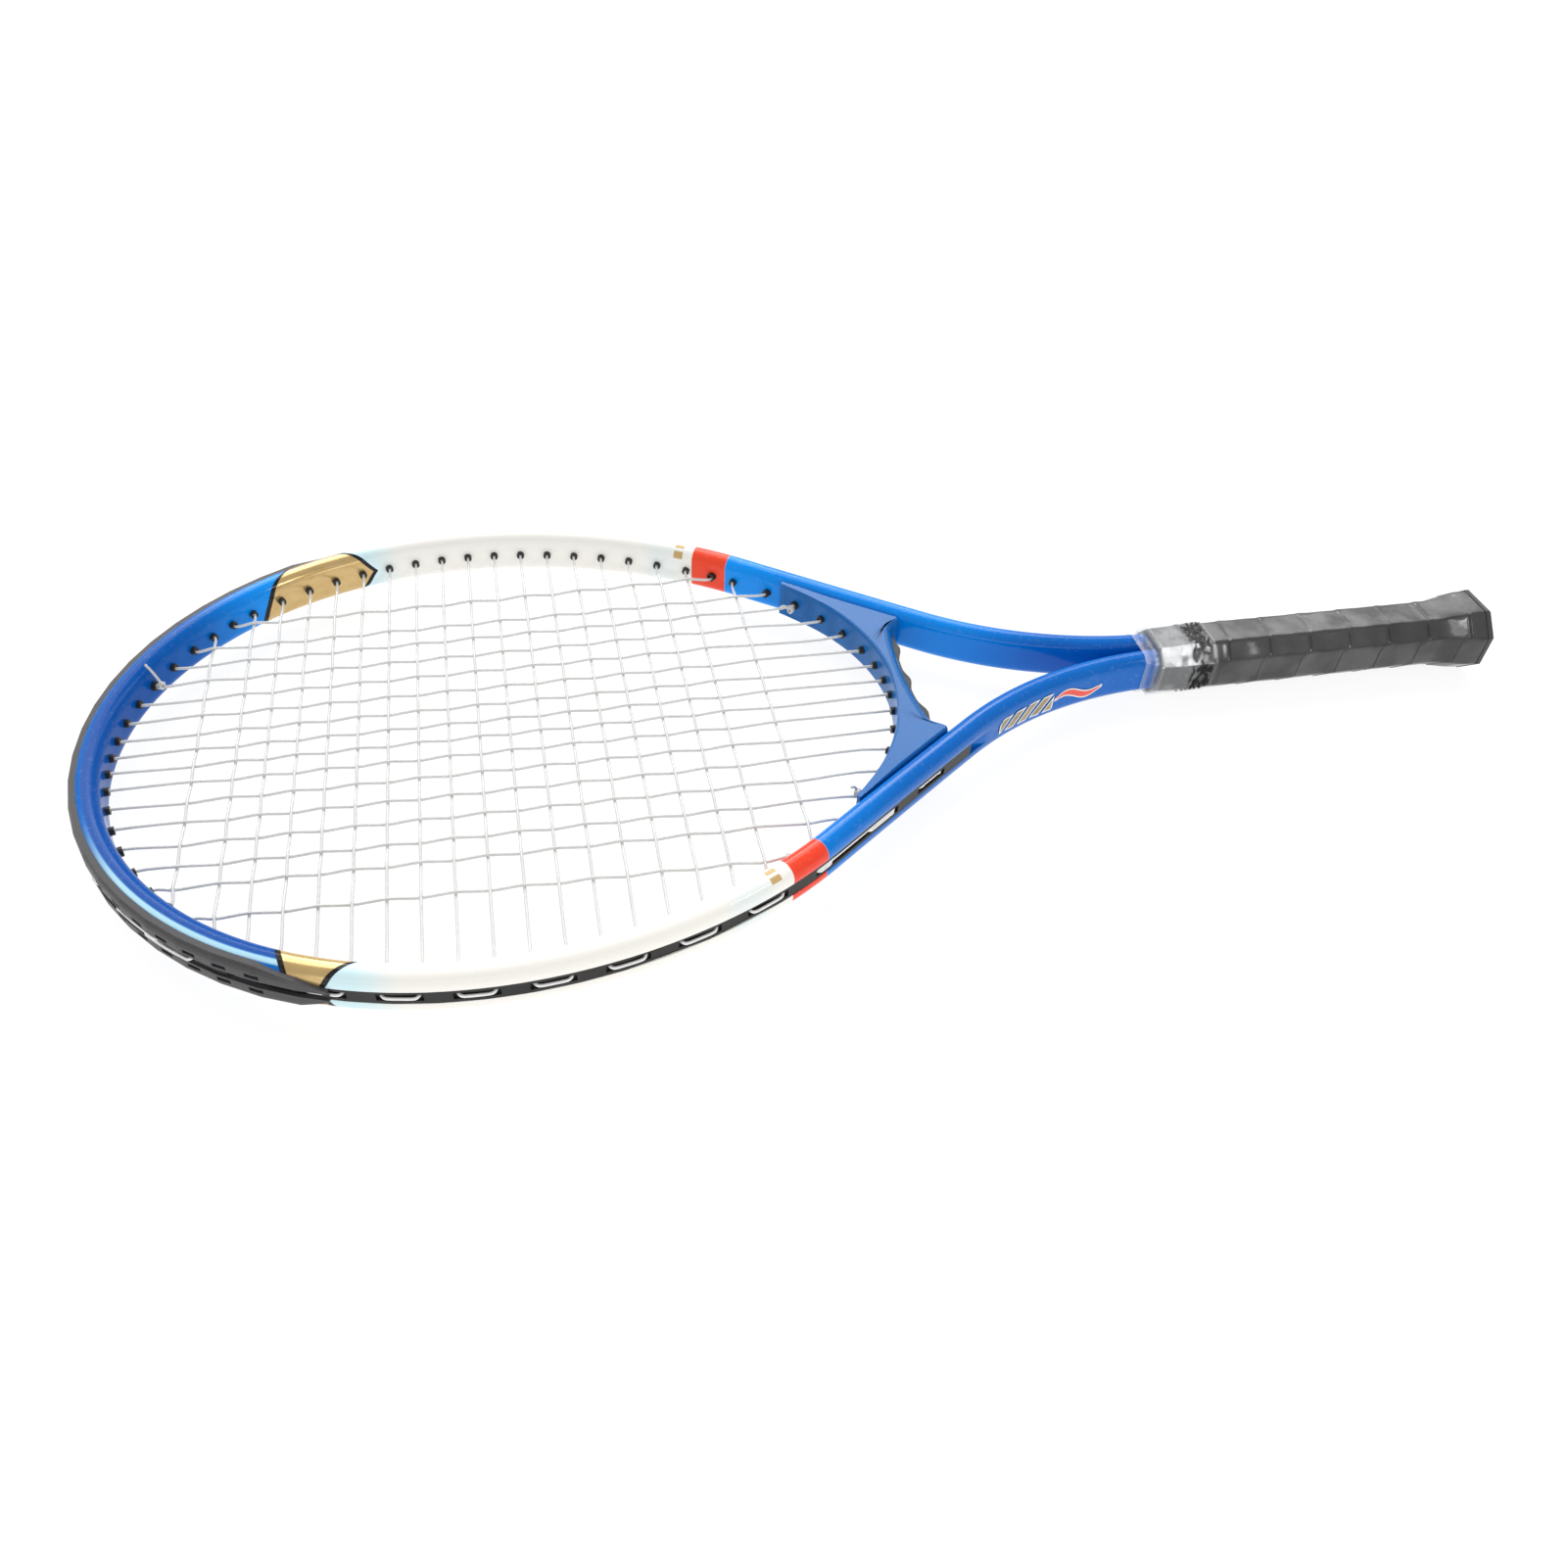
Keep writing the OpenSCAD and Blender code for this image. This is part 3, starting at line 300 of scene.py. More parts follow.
tip_places, throat_places, cross_places = [], [], []
for k in range(MAINS):
    tip_places.append(Place(egg(egg_at_y(main_y[k], 180, 95)), (-1, 0), RUN_BUMPER, k == TIP_TIE))
    mouth = egg(egg_at_y(throat_y[k], 0, 95))
    if k < BRIDGE_MAINS:
        throat_places.append(Place(mouth, None, 0, False))
    else:
        throat_places.append(Place(mouth, (1, 0), RUN_STRIP, k in (THROAT_TIE, THROAT_OUTER_TIE)))
for j in range(CROSSES):
    mouth = egg(math.acos((cross_x(j) - EGG_C) / EGG_A))
    cross_places.append(Place(mouth, (0, 1), RUN_BUMPER if j < 2 else RUN_STRIP, False))

# ---- Materials ----


class Nodes:
    """Short way to write a node material."""

    def __init__(self, name):
        self.mat = bpy.data.materials.new(name)
        self.mat.use_nodes = True
        self.tree = self.mat.node_tree
        self.tree.nodes.clear()
        self.out = self.node("OutputMaterial")
        self.bsdf = self.node("BsdfPrincipled")
        self.link(self.bsdf.outputs[0], self.out.inputs[0])

    def node(self, kind):
        return self.tree.nodes.new("ShaderNode" + kind)

    def link(self, a, b):
        self.tree.links.new(a, b)

    def put(self, socket, value):
        """Link a socket, or set its value; a colour may leave out its alpha."""
        if isinstance(value, bpy.types.NodeSocket):
            self.link(value, socket)
            return
        if isinstance(value, tuple) and len(value) == 3:
            value = (*value, 1.0)
        socket.default_value = value

    def set(self, name, value):
        self.put(self.bsdf.inputs[name], value)

    def math(self, operation, *values, clamp=False):
        n = self.node("Math")
        n.operation, n.use_clamp = operation, clamp
        for socket, value in zip(n.inputs, values):
            self.put(socket, value)
        return n.outputs[0]

    def times(self, first, *others):
        for value in others:
            first = self.math("MULTIPLY", first, value)
        return first

    def plus(self, first, *others):
        for value in others:
            first = self.math("ADD", first, value)
        return first

    def less(self, a, b):
        return self.math("SUBTRACT", a, b)

    def distance(self, a, b):
        return self.math("ABSOLUTE", self.less(a, b))

    def opposite(self, value):
        return self.less(1.0, value)

    def coords(self):
        return self.node("TexCoord").outputs["Object"]

    def axis(self, which):
        n = self.node("SeparateXYZ")
        self.link(self.coords(), n.inputs[0])
        return n.outputs[which]

    def attribute(self, name):
        n = self.node("Attribute")
        n.attribute_name = name
        return n.outputs["Fac"]

    def noise(self, scale, detail, stretch=(1.0, 1.0, 1.0)):
        n = self.node("TexNoise")
        n.inputs["Scale"].default_value = scale
        n.inputs["Detail"].default_value = detail
        n.inputs["Roughness"].default_value = 0.55
        mapping = self.node("Mapping")
        mapping.inputs["Scale"].default_value = stretch
        self.link(self.coords(), mapping.inputs["Vector"])
        self.link(mapping.outputs[0], n.inputs["Vector"])
        return n.outputs["Fac"]

    def cells(self, scale):
        n = self.node("TexVoronoi")
        n.inputs["Scale"].default_value = scale
        self.link(self.coords(), n.inputs["Vector"])
        return n.outputs["Distance"]

    def map(self, value, low, high, to_low=0.0, to_high=1.0):
        n = self.node("MapRange")
        ends = {"Value": value, "From Min": low, "From Max": high, "To Min": to_low, "To Max": to_high}
        for name, end in ends.items():
            self.put(n.inputs[name], end)
        return n.outputs[0]

    def step(self, value, edge, soft):
        """0 below edge, 1 above it, over a soft width."""
        if isinstance(edge, bpy.types.NodeSocket):
            low, high = self.less(edge, soft), self.plus(edge, soft)
        else:
            low, high = edge - soft, edge + soft
        made = self.map(value, low, high)
        made.node.interpolation_type = "SMOOTHSTEP"
        return made

    def until(self, value, edge, soft):
        return self.opposite(self.step(value, edge, soft))

    def between(self, value, low, high, soft):
        return self.times(self.step(value, low, soft), self.until(value, high, soft))

    def mix(self, share, a, b):
        n = self.node("Mix")
        n.data_type = "RGBA"
        self.put(n.inputs["Factor"], share)
        colors = [s for s in n.inputs if s.type == "RGBA"]
        self.put(colors[0], a)
        self.put(colors[1], b)
        return [s for s in n.outputs if s.type == "RGBA"][0]

    def blend(self, share, a, b):
        n = self.node("MixShader")
        self.put(n.inputs[0], share)
        self.link(a, n.inputs[1])
        self.link(b, n.inputs[2])
        return n.outputs[0]

    def bump(self, height, strength, distance):
        n = self.node("Bump")
        n.inputs["Strength"].default_value = strength
        n.inputs["Distance"].default_value = distance
        self.put(n.inputs["Height"], height)
        self.link(n.outputs[0], self.bsdf.inputs["Normal"])
        return n.outputs[0]

    def edge_wear(self):
        return self.map(self.node("NewGeometry").outputs["Pointiness"], 0.5, 0.62)


def x_mm(x):
    """Design x in millimetres to row metres."""
    return (x - LENGTH / 2) / 1000


# Borders of the paint and of the painted light along the racket, in design millimetres; edges in metres.
GUARD_HIGHLIGHT_FROM, GUARD_END = 22, 110
AZURE_FROM, AZURE_TO = 58, 250
BAND_FROM, BAND_TO = 293.0, 309.6
CRISP = 0.00025
MARK_BORDER = 0.0024


def blue_paint_and_light(m, x, around, far, mottle):
    """Cobalt with azure stretches next to the mark and past the band, partly paint and partly painted
    light, stronger on the far side; the azure on the far shaft is painted light.
    """
    azure, cobalt, deep = (0.0, 0.30, 0.95), (0.0, 0.145, 0.56), (0.0, 0.10, 0.44)
    blue = m.mix(m.map(mottle, 0.35, 0.65, 0.0, 0.35), cobalt, deep)
    by_mark = m.times(m.step(x, x_mm(AZURE_FROM), 0.022), m.until(x, x_mm(AZURE_TO), 0.01))
    # Partly paint, partly painted light: the azure next to the mark and past the band is stronger on the
    # far side.
    blue = m.mix(m.times(by_mark, m.map(far, 0.0, 1.0, 0.15, 1.0)), blue, azure)
    by_band = m.times(m.step(x, x_mm(300), 0.002), m.until(x, x_mm(338), 0.030))
    blue = m.mix(m.times(by_band, m.map(far, 0.0, 1.0, 0.35, 1.0)), blue, azure)
    # Painted light: only the far shaft turns azure here, standing in for its lit side.
    return m.mix(m.times(m.between(x, x_mm(338), x_mm(430), 0.030), far, 0.7), blue, azure)


def inner_shade(m, x, around, far):
    """Where the tube turns inwards at the tip and beside the guard on the near side."""
    near_side = m.times(m.opposite(far), m.until(x, x_mm(GUARD_END), 0.012))
    by_tip = m.until(x, x_mm(38), 0.030)
    return m.times(m.step(around, 0.222, 0.012), m.math("MAXIMUM", near_side, by_tip))


def ivory_paint_and_sheen(m, x):
    """Ivory with a painted pale blue sky reflection at both of its ends."""
    ivory, painted_sky_sheen = (0.97, 0.95, 0.89), (0.60, 0.90, 0.98)
    at_left = m.times(m.until(x, x_mm(131), 0.011), 0.75)
    at_right = m.times(m.between(x, x_mm(268), x_mm(284), 0.006), m.noise(60.0, 2.0), 0.5)
    return m.mix(at_right, m.mix(at_left, ivory, painted_sky_sheen), painted_sky_sheen)


def mark_borders(m, around, far):
    """Both ends of the gold mark. It points towards the throat; near and far side differ."""
    off_inner = m.distance(around, 0.5)

    def by_side(far_edge, near_edge):
        return m.plus(m.times(far, far_edge), m.times(m.opposite(far), near_edge))

    right_far = m.less(x_mm(127.0), m.times(off_inner, 0.054))
    right_near = m.less(x_mm(130.7), m.times(off_inner, 0.043))
    lean = m.plus(m.times(around, -0.032), x_mm(88.5))
    kick = m.plus(m.times(m.less(around, 0.62), 0.110), x_mm(68.5))
    left_near = m.plus(x_mm(97.0), m.times(around, -0.010))
    return by_side(m.math("MAXIMUM", lean, kick), left_near), by_side(right_far, right_near)


def gold_dashes(m, along, around, band_from):
    """A short row of plain dashes on the upper side, just before the red band."""
    stripe = m.between(along, band_from - 0.0105, band_from - 0.0055, CRISP)
    teeth = m.step(m.math("PINGPONG", around, 0.055), 0.022, 0.002)
    return m.times(stripe, teeth, m.between(around, 0.10, 0.44, 0.004))


def lacquer_material():
    """Blue hoop with a gold mark, an ivory stretch and a red band under clear lacquer."""
    m = Nodes("lacquered_tube")
    gold, black, red = (0.62, 0.42, 0.17), (0.012, 0.011, 0.012), (0.92, 0.055, 0.022)
    x, along, around = m.axis(0), m.attribute("along"), m.attribute("around")
    far = m.step(m.axis(1), 0.0, 0.0005)
    mottle = m.noise(22.0, 2.0)
    blue = blue_paint_and_light(m, x, around, far, mottle)

    # Painted highlight: a pale line fades in along the guard's upper edge on the near side.
    line = m.times(m.between(around, 0.158, 0.212, 0.012), m.opposite(far))
    line = m.times(line, m.between(x, x_mm(GUARD_HIGHLIGHT_FROM), x_mm(GUARD_END), 0.012), 0.85)
    blue = m.mix(line, blue, (0.58, 0.92, 1.0))
    shaded = inner_shade(m, x, around, far)
    blue = m.mix(shaded, blue, (0.0, 0.075, 0.36))

    left, right = mark_borders(m, around, far)
    in_mark = m.between(x, left, right, CRISP)
    in_gold = m.between(x, m.plus(left, MARK_BORDER), m.less(right, MARK_BORDER), CRISP)
    gold_grain = m.noise(300.0, 3.0, (0.15, 1.0, 1.0))
    gold_leaf = m.mix(m.map(gold_grain, 0.3, 0.7, 0.0, 0.45), gold, (0.78, 0.58, 0.28))
    color = m.mix(m.step(x, right, CRISP), blue, ivory_paint_and_sheen(m, x))
    color = m.mix(in_mark, color, black)
    color = m.mix(in_gold, color, gold_leaf)

    # The red band is square to the tube.
    band_from, band_to = length_at_x(BAND_FROM) / 1000, length_at_x(BAND_TO) / 1000
    color = m.mix(gold_dashes(m, along, around, band_from), color, gold)
    red_shade = m.mix(m.map(mottle, 0.3, 0.7, 0.0, 0.35), red, (0.95, 0.12, 0.05))
    color = m.mix(m.between(along, band_from, band_to, CRISP), color, red_shade)
    color = m.mix(m.step(along, band_to, CRISP), color, blue)

    # Fine dust and hairline rubs show on the worn shoulders.
    rub = m.times(m.edge_wear(), m.step(m.noise(420.0, 4.0), 0.62, 0.05), 0.35)
    m.set("Base Color", m.mix(rub, color, (0.62, 0.63, 0.66)))
    m.set("Metallic", m.times(in_gold, 0.55))
    m.set("Roughness", m.map(m.noise(35.0, 3.0), 0.3, 0.7, 0.16, 0.27))
    m.set("Coat Weight", m.map(shaded, 0.0, 1.0, 0.38, 0.06))
    m.set("Coat Roughness", 0.05)
    m.set("Specular IOR Level", 0.08)
    m.bump(m.noise(900.0, 2.0), 0.04, 0.0002)
    return m.mat


def plain_material(name, color, second, rough, scale, bump, coat=0.0, metallic=0.0, spec=0.5, patches=None):
    """Grained plastic, rubber or metal in two close tones, lighter on its worn edges."""
    m = Nodes(name)
    grain = m.noise(scale, 4.0)
    broad = m.noise(scale * 0.08, 2.0)
    tone = m.mix(m.map(grain, 0.35, 0.65), color, second)
    tone = m.mix(m.times(m.map(broad, 0.4, 0.7), 0.25), tone, color)
    lighter = tuple(min(1.0, c * 1.6 + 0.03) for c in second)
    m.set("Base Color", m.mix(m.times(m.edge_wear(), 0.35), tone, lighter))
    m.set("Roughness", m.map(grain, 0.3, 0.7, rough - 0.06, rough + 0.08))
    m.set("Metallic", metallic)
    m.set("Specular IOR Level", spec)
    m.set("Coat Weight", m.map(m.noise(patches, 2.0), 0.47, 0.53, 0.0, coat) if patches else coat)
    m.set("Coat Roughness", 0.12)
    m.bump(grain, bump, 0.0002)
    return m.mat


def string_material():
    """Slightly clear nylon. The runs outside the hoop are painted lighter than the bed, as painted light
    against the shade of their slots.
    """
    m = Nodes("white_string")
    streak, run = m.noise(500.0, 3.0), m.attribute("run")
    tone = m.mix(m.map(streak, 0.3, 0.7), (0.74, 0.74, 0.73), (0.81, 0.81, 0.80))
    # Painted light: the runs outside the hoop are near white, lighter than the strings in the bed.
    m.set("Base Color", m.mix(run, tone, (0.97, 0.97, 0.96)))
    m.set("Roughness", m.map(streak, 0.3, 0.7, 0.10, 0.20))
    m.set("Specular IOR Level", 0.6)
    m.set("Transmission Weight", m.map(run, 0.0, 1.0, 0.25, 0.0))
    m.set("IOR", 1.52)
    m.bump(streak, 0.06, 0.0001)
    return m.mat


def tape_material():
    """Synthetic leather: fine pores and a darker line where one turn meets the next."""
    m = Nodes("charcoal_tape")
    pores, grain, broad = m.cells(2600.0), m.noise(1400.0, 4.0), m.noise(70.0, 2.0)
    tone = m.mix(m.map(grain, 0.3, 0.7), (0.013, 0.0121, 0.0121), (0.025, 0.0234, 0.0227))
    tone = m.mix(m.times(m.map(broad, 0.4, 0.65), 0.35), tone, (0.034, 0.032, 0.0306))
    seam = m.times(m.step(m.attribute("lap"), 0.55, 0.35), 0.25)
    m.set("Base Color", m.mix(seam, tone, (0.014, 0.013, 0.013)))
    m.set("Roughness", m.map(broad, 0.3, 0.7, 0.34, 0.52))
    m.set("Specular IOR Level", 0.5)
    m.set("Sheen Weight", 0.1)
    m.set("Coat Weight", m.map(m.noise(45.0, 3.0), 0.42, 0.60, 0.12, 0.7))
    m.set("Coat Roughness", 0.10)
    m.bump(m.plus(m.times(pores, 0.6), m.times(grain, 0.5)), 0.25, 0.00015)
    return m.mat


def film_material():
    """Thin clear film: nearly invisible where it lies flat, milky at its mouth, with painted shade in the
    creases at its end.
    """
    m = Nodes("clear_film")
    x = m.axis(0)
    wrinkle = m.noise(150.0, 5.0, (2.4, 0.8, 0.8))
    # Painted shade: near-black lines along the creases at the film's end, over a faint blackened haze
    # there.
    crease = m.until(m.distance(m.noise(170.0, 3.0, (1.5, 1.0, 1.0)), 0.5), 0.052, 0.014)
    creased = m.between(x, x_mm(520.5), x_mm(531.5), 0.0012)
    mouth = m.plus(m.until(x, x_mm(498.0), 0.0012), m.between(x, x_mm(501.0), x_mm(504.5), 0.0008))
    haze = m.plus(m.times(mouth, 0.10), m.times(m.step(wrinkle, 0.60, 0.03), 0.06), 0.02)
    cover = m.plus(haze, m.times(crease, creased, 0.95))
    milky, painted_crease_shade = (0.72, 0.76, 0.80), (0.006, 0.006, 0.007)
    m.set("Base Color", m.mix(m.step(creased, 0.10, 0.05), milky, painted_crease_shade))
    m.set("Roughness", m.map(wrinkle, 0.3, 0.7, 0.03, 0.10))
    m.set("IOR", 1.45)
    m.set("Specular IOR Level", m.map(creased, 0.0, 1.0, 0.9, 0.06))
    bump = m.bump(wrinkle, 0.5, 0.0009)
    clear, gloss = m.node("BsdfTransparent"), m.node("BsdfGlossy")
    m.put(clear.inputs[0], (0.97, 0.975, 0.98))
    m.put(gloss.inputs["Roughness"], 0.05)
    m.link(bump, gloss.inputs["Normal"])
    film = m.blend(m.math("MINIMUM", cover, 1.0), clear.outputs[0], m.bsdf.outputs[0])
    m.link(m.blend(0.018, film, gloss.outputs[0]), m.out.inputs[0])
    return m.mat


# The marks on the sticker, in millimetres from its left end and from its middle height.
BARS_FROM, BARS_TO = 3.0, 34.0
WAVE_FROM, WAVE_TO = 36.0, 62.0
MARK_EDGE = 0.65
MARK_SOFT = 0.12


def decal_material():
    """Clear sticker with abstract marks: leaning gold bars and one red wave, edged in white."""
    m = Nodes("foil_decal")
    z = m.times(m.less(m.axis(2), ORIGIN[2] / 1000), 1000.0)
    u = m.times(m.less(m.axis(0), x_mm(411)), 1000.0)
    teeth = m.math("PINGPONG", m.less(u, m.times(z, 0.75)), 3.9)
    half_height = m.map(u, 0.0, BARS_TO, 3.2, 4.5)
    wave = m.times(m.math("SINE", m.times(m.less(u, 35.0), 0.235)), 2.3)
    swell = m.math("SINE", m.times(m.less(u, 34.0), 0.105), clamp=True)

    def bars(grow):
        in_bar = m.step(teeth, 1.75 - grow, MARK_SOFT)
        in_height = m.until(m.math("ABSOLUTE", z), m.plus(half_height, grow), MARK_SOFT)
        return m.times(in_bar, in_height, m.between(u, BARS_FROM - grow, BARS_TO + grow, MARK_SOFT))

    def ribbon(grow):
        wide = m.plus(m.times(swell, 1.9), grow)
        inside = m.step(m.less(wide, m.distance(z, wave)), 0.05, MARK_SOFT)
        return m.times(inside, m.between(u, WAVE_FROM - grow, WAVE_TO + grow, MARK_SOFT))

    grain = m.noise(240.0, 4.0, (0.3, 1.0, 1.0))
    gold_in = bars(0.0)
    gold = m.mix(m.map(grain, 0.3, 0.7), (0.20, 0.15, 0.075), (0.46, 0.35, 0.17))
    red = m.mix(m.map(grain, 0.3, 0.7), (0.78, 0.035, 0.015), (0.90, 0.07, 0.03))
    m.set("Base Color", m.mix(ribbon(0.0), m.mix(gold_in, (0.90, 0.90, 0.88), gold), red))
    m.set("Metallic", m.times(gold_in, 0.5))
    m.set("Roughness", m.map(grain, 0.3, 0.7, 0.22, 0.36))
    m.set("Coat Weight", 0.4)
    m.bump(grain, 0.1, 0.0002)
    clear = m.node("BsdfTransparent")
    shown = m.math("MAXIMUM", bars(MARK_EDGE), ribbon(MARK_EDGE))
    m.link(m.blend(shown, clear.outputs[0], m.bsdf.outputs[0]), m.out.inputs[0])
    return m.mat


lacquer = lacquer_material()
blue_moulding = plain_material(
    "blue_moulding", (0.001, 0.098, 0.34), (0.003, 0.122, 0.39), 0.32, 700.0, 0.12, coat=0.18, spec=0.14)
grey_guard = plain_material(
    "grey_guard", (0.044, 0.042, 0.044), (0.062, 0.059, 0.062), 0.42, 900.0, 0.2, spec=0.25)
black_strip = plain_material(
    "black_strip", (0.010, 0.010, 0.010), (0.018, 0.017, 0.016), 0.42, 900.0, 0.15, spec=0.3)
white_string = string_material()
handle_foam = plain_material("handle_foam", (0.035, 0.035, 0.037), (0.05, 0.05, 0.052), 0.8, 900.0, 0.3)
grey_collar = plain_material(
    "grey_collar", (0.088, 0.085, 0.084), (0.112, 0.109, 0.107), 0.34, 800.0, 0.12, coat=0.9, spec=0.3,
    patches=75.0)
black_cap = plain_material("black_cap", (0.016, 0.016, 0.017), (0.028, 0.028, 0.030), 0.42, 700.0, 0.15)
steel_tack = plain_material(
    "steel_tack", (0.55, 0.55, 0.53), (0.65, 0.65, 0.63), 0.3, 900.0, 0.05, metallic=1.0)
charcoal_tape = tape_material()
clear_film = film_material()
foil_decal = decal_material()

for node, material in {
    "frame_tube": lacquer,
    "throat_bridge": blue_moulding,
    "bumper_guard": grey_guard,
    "head_grommet_strip": black_strip,
    "side_grommet_strip_left": black_strip,
    "side_grommet_strip_right": black_strip,
    "bridge_grommet_strip": black_strip,
    "main_string": white_string,
    "cross_string": white_string,
    "pallet_upper": handle_foam,
    "pallet_lower": handle_foam,
    "handle_collar": grey_collar,
    "butt_cap": black_cap,
    "butt_cap_tacks": steel_tack,
    "grip_tape": charcoal_tape,
    "film_sleeve": clear_film,
    "shaft_decal": foil_decal,
}.items():
    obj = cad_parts[node]
    obj.data.materials.clear()
    obj.data.materials.append(material)

# ---- The tube ----

GROOVE_END = length_at_x(395.0)
GROOVE_FADE = 9
SHAFT_TO = 648.0
RING_STEPS = 16
FLAT_SIDE = 2.8
EASE = 0.01


def fine_lengths(a, b, step):
    n = max(2, int(math.ceil((b - a) / step)))
    return [a + (b - a) * i / n for i in range(n + 1)]


def half_ring(top):
    """Upper or lower half of the tube's outline, from one side to the other."""
    lift = (BEAM - TUBE_W) / 2 * (1 if top else -1)
    pts = []
    for i in range(RING_STEPS + 1):
        a = math.pi * i / RING_STEPS + (0 if top else math.pi)
        pts.append((TUBE_W / 2 * math.cos(a), lift + TUBE_W / 2 * math.sin(a)))
    return pts


def tube_ring(s):
    """Section of the tube as (out, height), with the strip groove fading out past the throat."""
    left = smooth((GROOVE_END + GROOVE_FADE - abs(s)) / GROOVE_FADE)
    half, g = TUBE_W / 2, GROOVE_H / 2
    floor = half - GROOVE_DEPTH * left
    lip = 0.35 * left + 0.02
    soft = 0.1 * left
    ring = half_ring(top=True) + [(-half, FLAT_SIDE), (-half, 0.0), (-half, -FLAT_SIDE)]
    ring += half_ring(top=False)
    ring += [(half, -g - lip), (half - soft, -g - 0.1 * lip), (half - lip, -g), (floor, -g + EASE)]
    ring += [(floor, 0.0)]
    ring += [(floor, g - EASE), (half - lip, g), (half - soft, g + 0.1 * lip), (half, g + lip)]
    return ring


shaft_end = PATH + SHAFT_TO - SHAFT_FROM
lengths = fine_lengths(-shaft_end, -PATH, 30)
lengths += fine_lengths(-PATH, PATH, 3)[1:]
lengths += fine_lengths(PATH, shaft_end, 30)[1:]
tube_points = []
for s in lengths:
    base, out = path_point(s), path_outward(s)
    for w, z in tube_ring(s):
        tube_points.append((base[0] + out[0] * w, base[1] + out[1] * w, z))
first_ring = np.array(tube_ring(lengths[0]))
ring_n = len(first_ring)
turn = np.arctan2(first_ring[:, 1] / (BEAM / 2), first_ring[:, 0] / (TUBE_W / 2)) / (2 * math.pi)
tube = sleeve("racket_tube", tube_points, ring_n)
add_float(tube, "around", np.tile(np.where(turn < 0, turn + 1, turn), len(lengths)))
add_float(tube, "along", np.repeat(np.abs(lengths), ring_n) / 1000)
tube.data.set_sharp_from_angle(angle=math.radians(50))
done(tube, lacquer, "lacquered_tube", "frame_tube")

# ---- The strings ----

MOUTH_STEP = 0.5
BEND = 1.3
RUN_SETTLE, RUN_STEP = 3.5, 4
TIE_POKE = 1.2
STRIP_RISE, LOOP_DEPTH = 1.7, 1.4
PAD_REACH, PAD_RISE = 8.5, 2.1

def at_height(p, z):
    return np.array([p[0], p[1], z])


def bore_z(p, lane):
    """Height of the string in a barrel; a barrel with two strings holds them further apart."""
    return lane * (TIE_SHIFT if p.tie else BORE_SHIFT)


def barrel_points(p, lane):
    z = bore_z(p, lane)
    return [at_height(p.mouth - p.way * MOUTH_STEP, z), at_height(p.mouth + p.way * (p.reach - BEND), z)]


def run_points(a, b, lane):
    """The string outside the hoop between two grommets, in the upper or lower lane of its slot."""
    way = 1.0 if b.s > a.s else -1.0
    gap = abs(b.s - a.s)
    span = gap - 2 * RUN_SETTLE
    steps = max(2, int(math.ceil(span / RUN_STEP)))
    pts = []
    for i in range(-1, steps + 2):
        d, z = RUN_SETTLE + span * i / steps, lane * LANE
        if i < 0:
            d, z = BEND, (bore_z(a, lane) + z) / 2
        elif i > steps:
            d, z = gap - BEND, (bore_z(b, lane) + z) / 2
        pts.append(at_height(path_point(a.s + way * d, a.run + (b.run - a.run) * d / gap), z))
    return pts


def throat_face(y):
    """Outer face of the bridge, slightly bowed."""
    return 376.4 + 2.8 * (y / 33.0) ** 2


def loop_pad(y, centre):
    """How far the wavy strip swells at one of its loops."""
    d = abs(y - centre)
    return 0.0 if d > PAD_REACH else PAD_RISE * (1 + math.cos(math.pi * d / PAD_REACH)) / 2


def bridge_run_x(y):
    rise = STRIP_RISE + loop_pad(abs(y), 0.0) + loop_pad(abs(y), (throat_y[1] + throat_y[2]) / 2)
    return throat_face(y) + rise - LOOP_DEPTH + RUN_GAP + STRING_R


def loop_point(y, z):
    return np.array([bridge_run_x(y), y, z])


def bridge_barrel(p, lane):
    x, y = p.mouth
    z = lane * BORE_SHIFT
    return [np.array([x - MOUTH_STEP, y, z]), np.array([bridge_run_x(y) - BEND, y, z])]


def crossing(k, j):
    """Where main k meets cross j, or None where the cross doesn't reach it."""
    a, b = tip_places[k].mouth, throat_places[k].mouth
    f = (cross_x(j) - a[0]) / (b[0] - a[0])
    p = a + f * (b - a)
    return p if 0 < f < 1 and p[1] < cross_places[j].mouth[1] else None


def weave(points, signs):
    """Points of a woven line: flat over each crossing, with a middle point between them."""
    made = []
    for i, (p, sign) in enumerate(zip(points, signs)):
        if i:
            made.append(at_height((p + points[i - 1]) / 2, 0.0))
        made.append(at_height(p, WEAVE * sign))
    return made


def woven(pairs, over):
    """The woven line through these (main, cross) pairs; over is 1 or -1 where their sum is even."""
    pts, signs = [], []
    for k, j in pairs:
        p = crossing(k, j)
        if p is not None:
            pts.append(p)
            signs.append(over if (k + j) % 2 == 0 else -over)
    return weave(pts, signs)


def main_crossings(k):
    return woven([(k, j) for j in range(CROSSES)], 1)


def turned(points):
    """The same points on the other half: half a turn about the racket's axis."""
    return [np.array([p[0], -p[1], -p[2]]) for p in points]


def throat_end(k):
    if k < BRIDGE_MAINS:
        return bridge_barrel(throat_places[k], -1)
    return barrel_points(throat_places[k], 1 if k in (THROAT_TIE, THROAT_TIE + 1) else -1)


def main_pair(k):
    """Main k up to the tip, round to its neighbour and back down to the throat."""
    first, second = tip_places[k], tip_places[k + 1]
    to_tip = throat_end(k)[::-1] + main_crossings(k)[::-1] + barrel_points(first, -1)
    to_throat = barrel_points(second, -1)[::-1] + main_crossings(k + 1) + throat_end(k + 1)
    return to_tip + run_points(first, second, -1) + to_throat


def throat_run(a, b, lane):
    return run_points(throat_places[a], throat_places[b], lane)


def tie_in(p, lane):
    """Back through a grommet that already holds a string, to be knotted at its mouth."""
    z = lane * TIE_SHIFT
    return [at_height(p.mouth + p.way * (p.reach - BEND), z), at_height(p.mouth - p.way * TIE_POKE, z)]


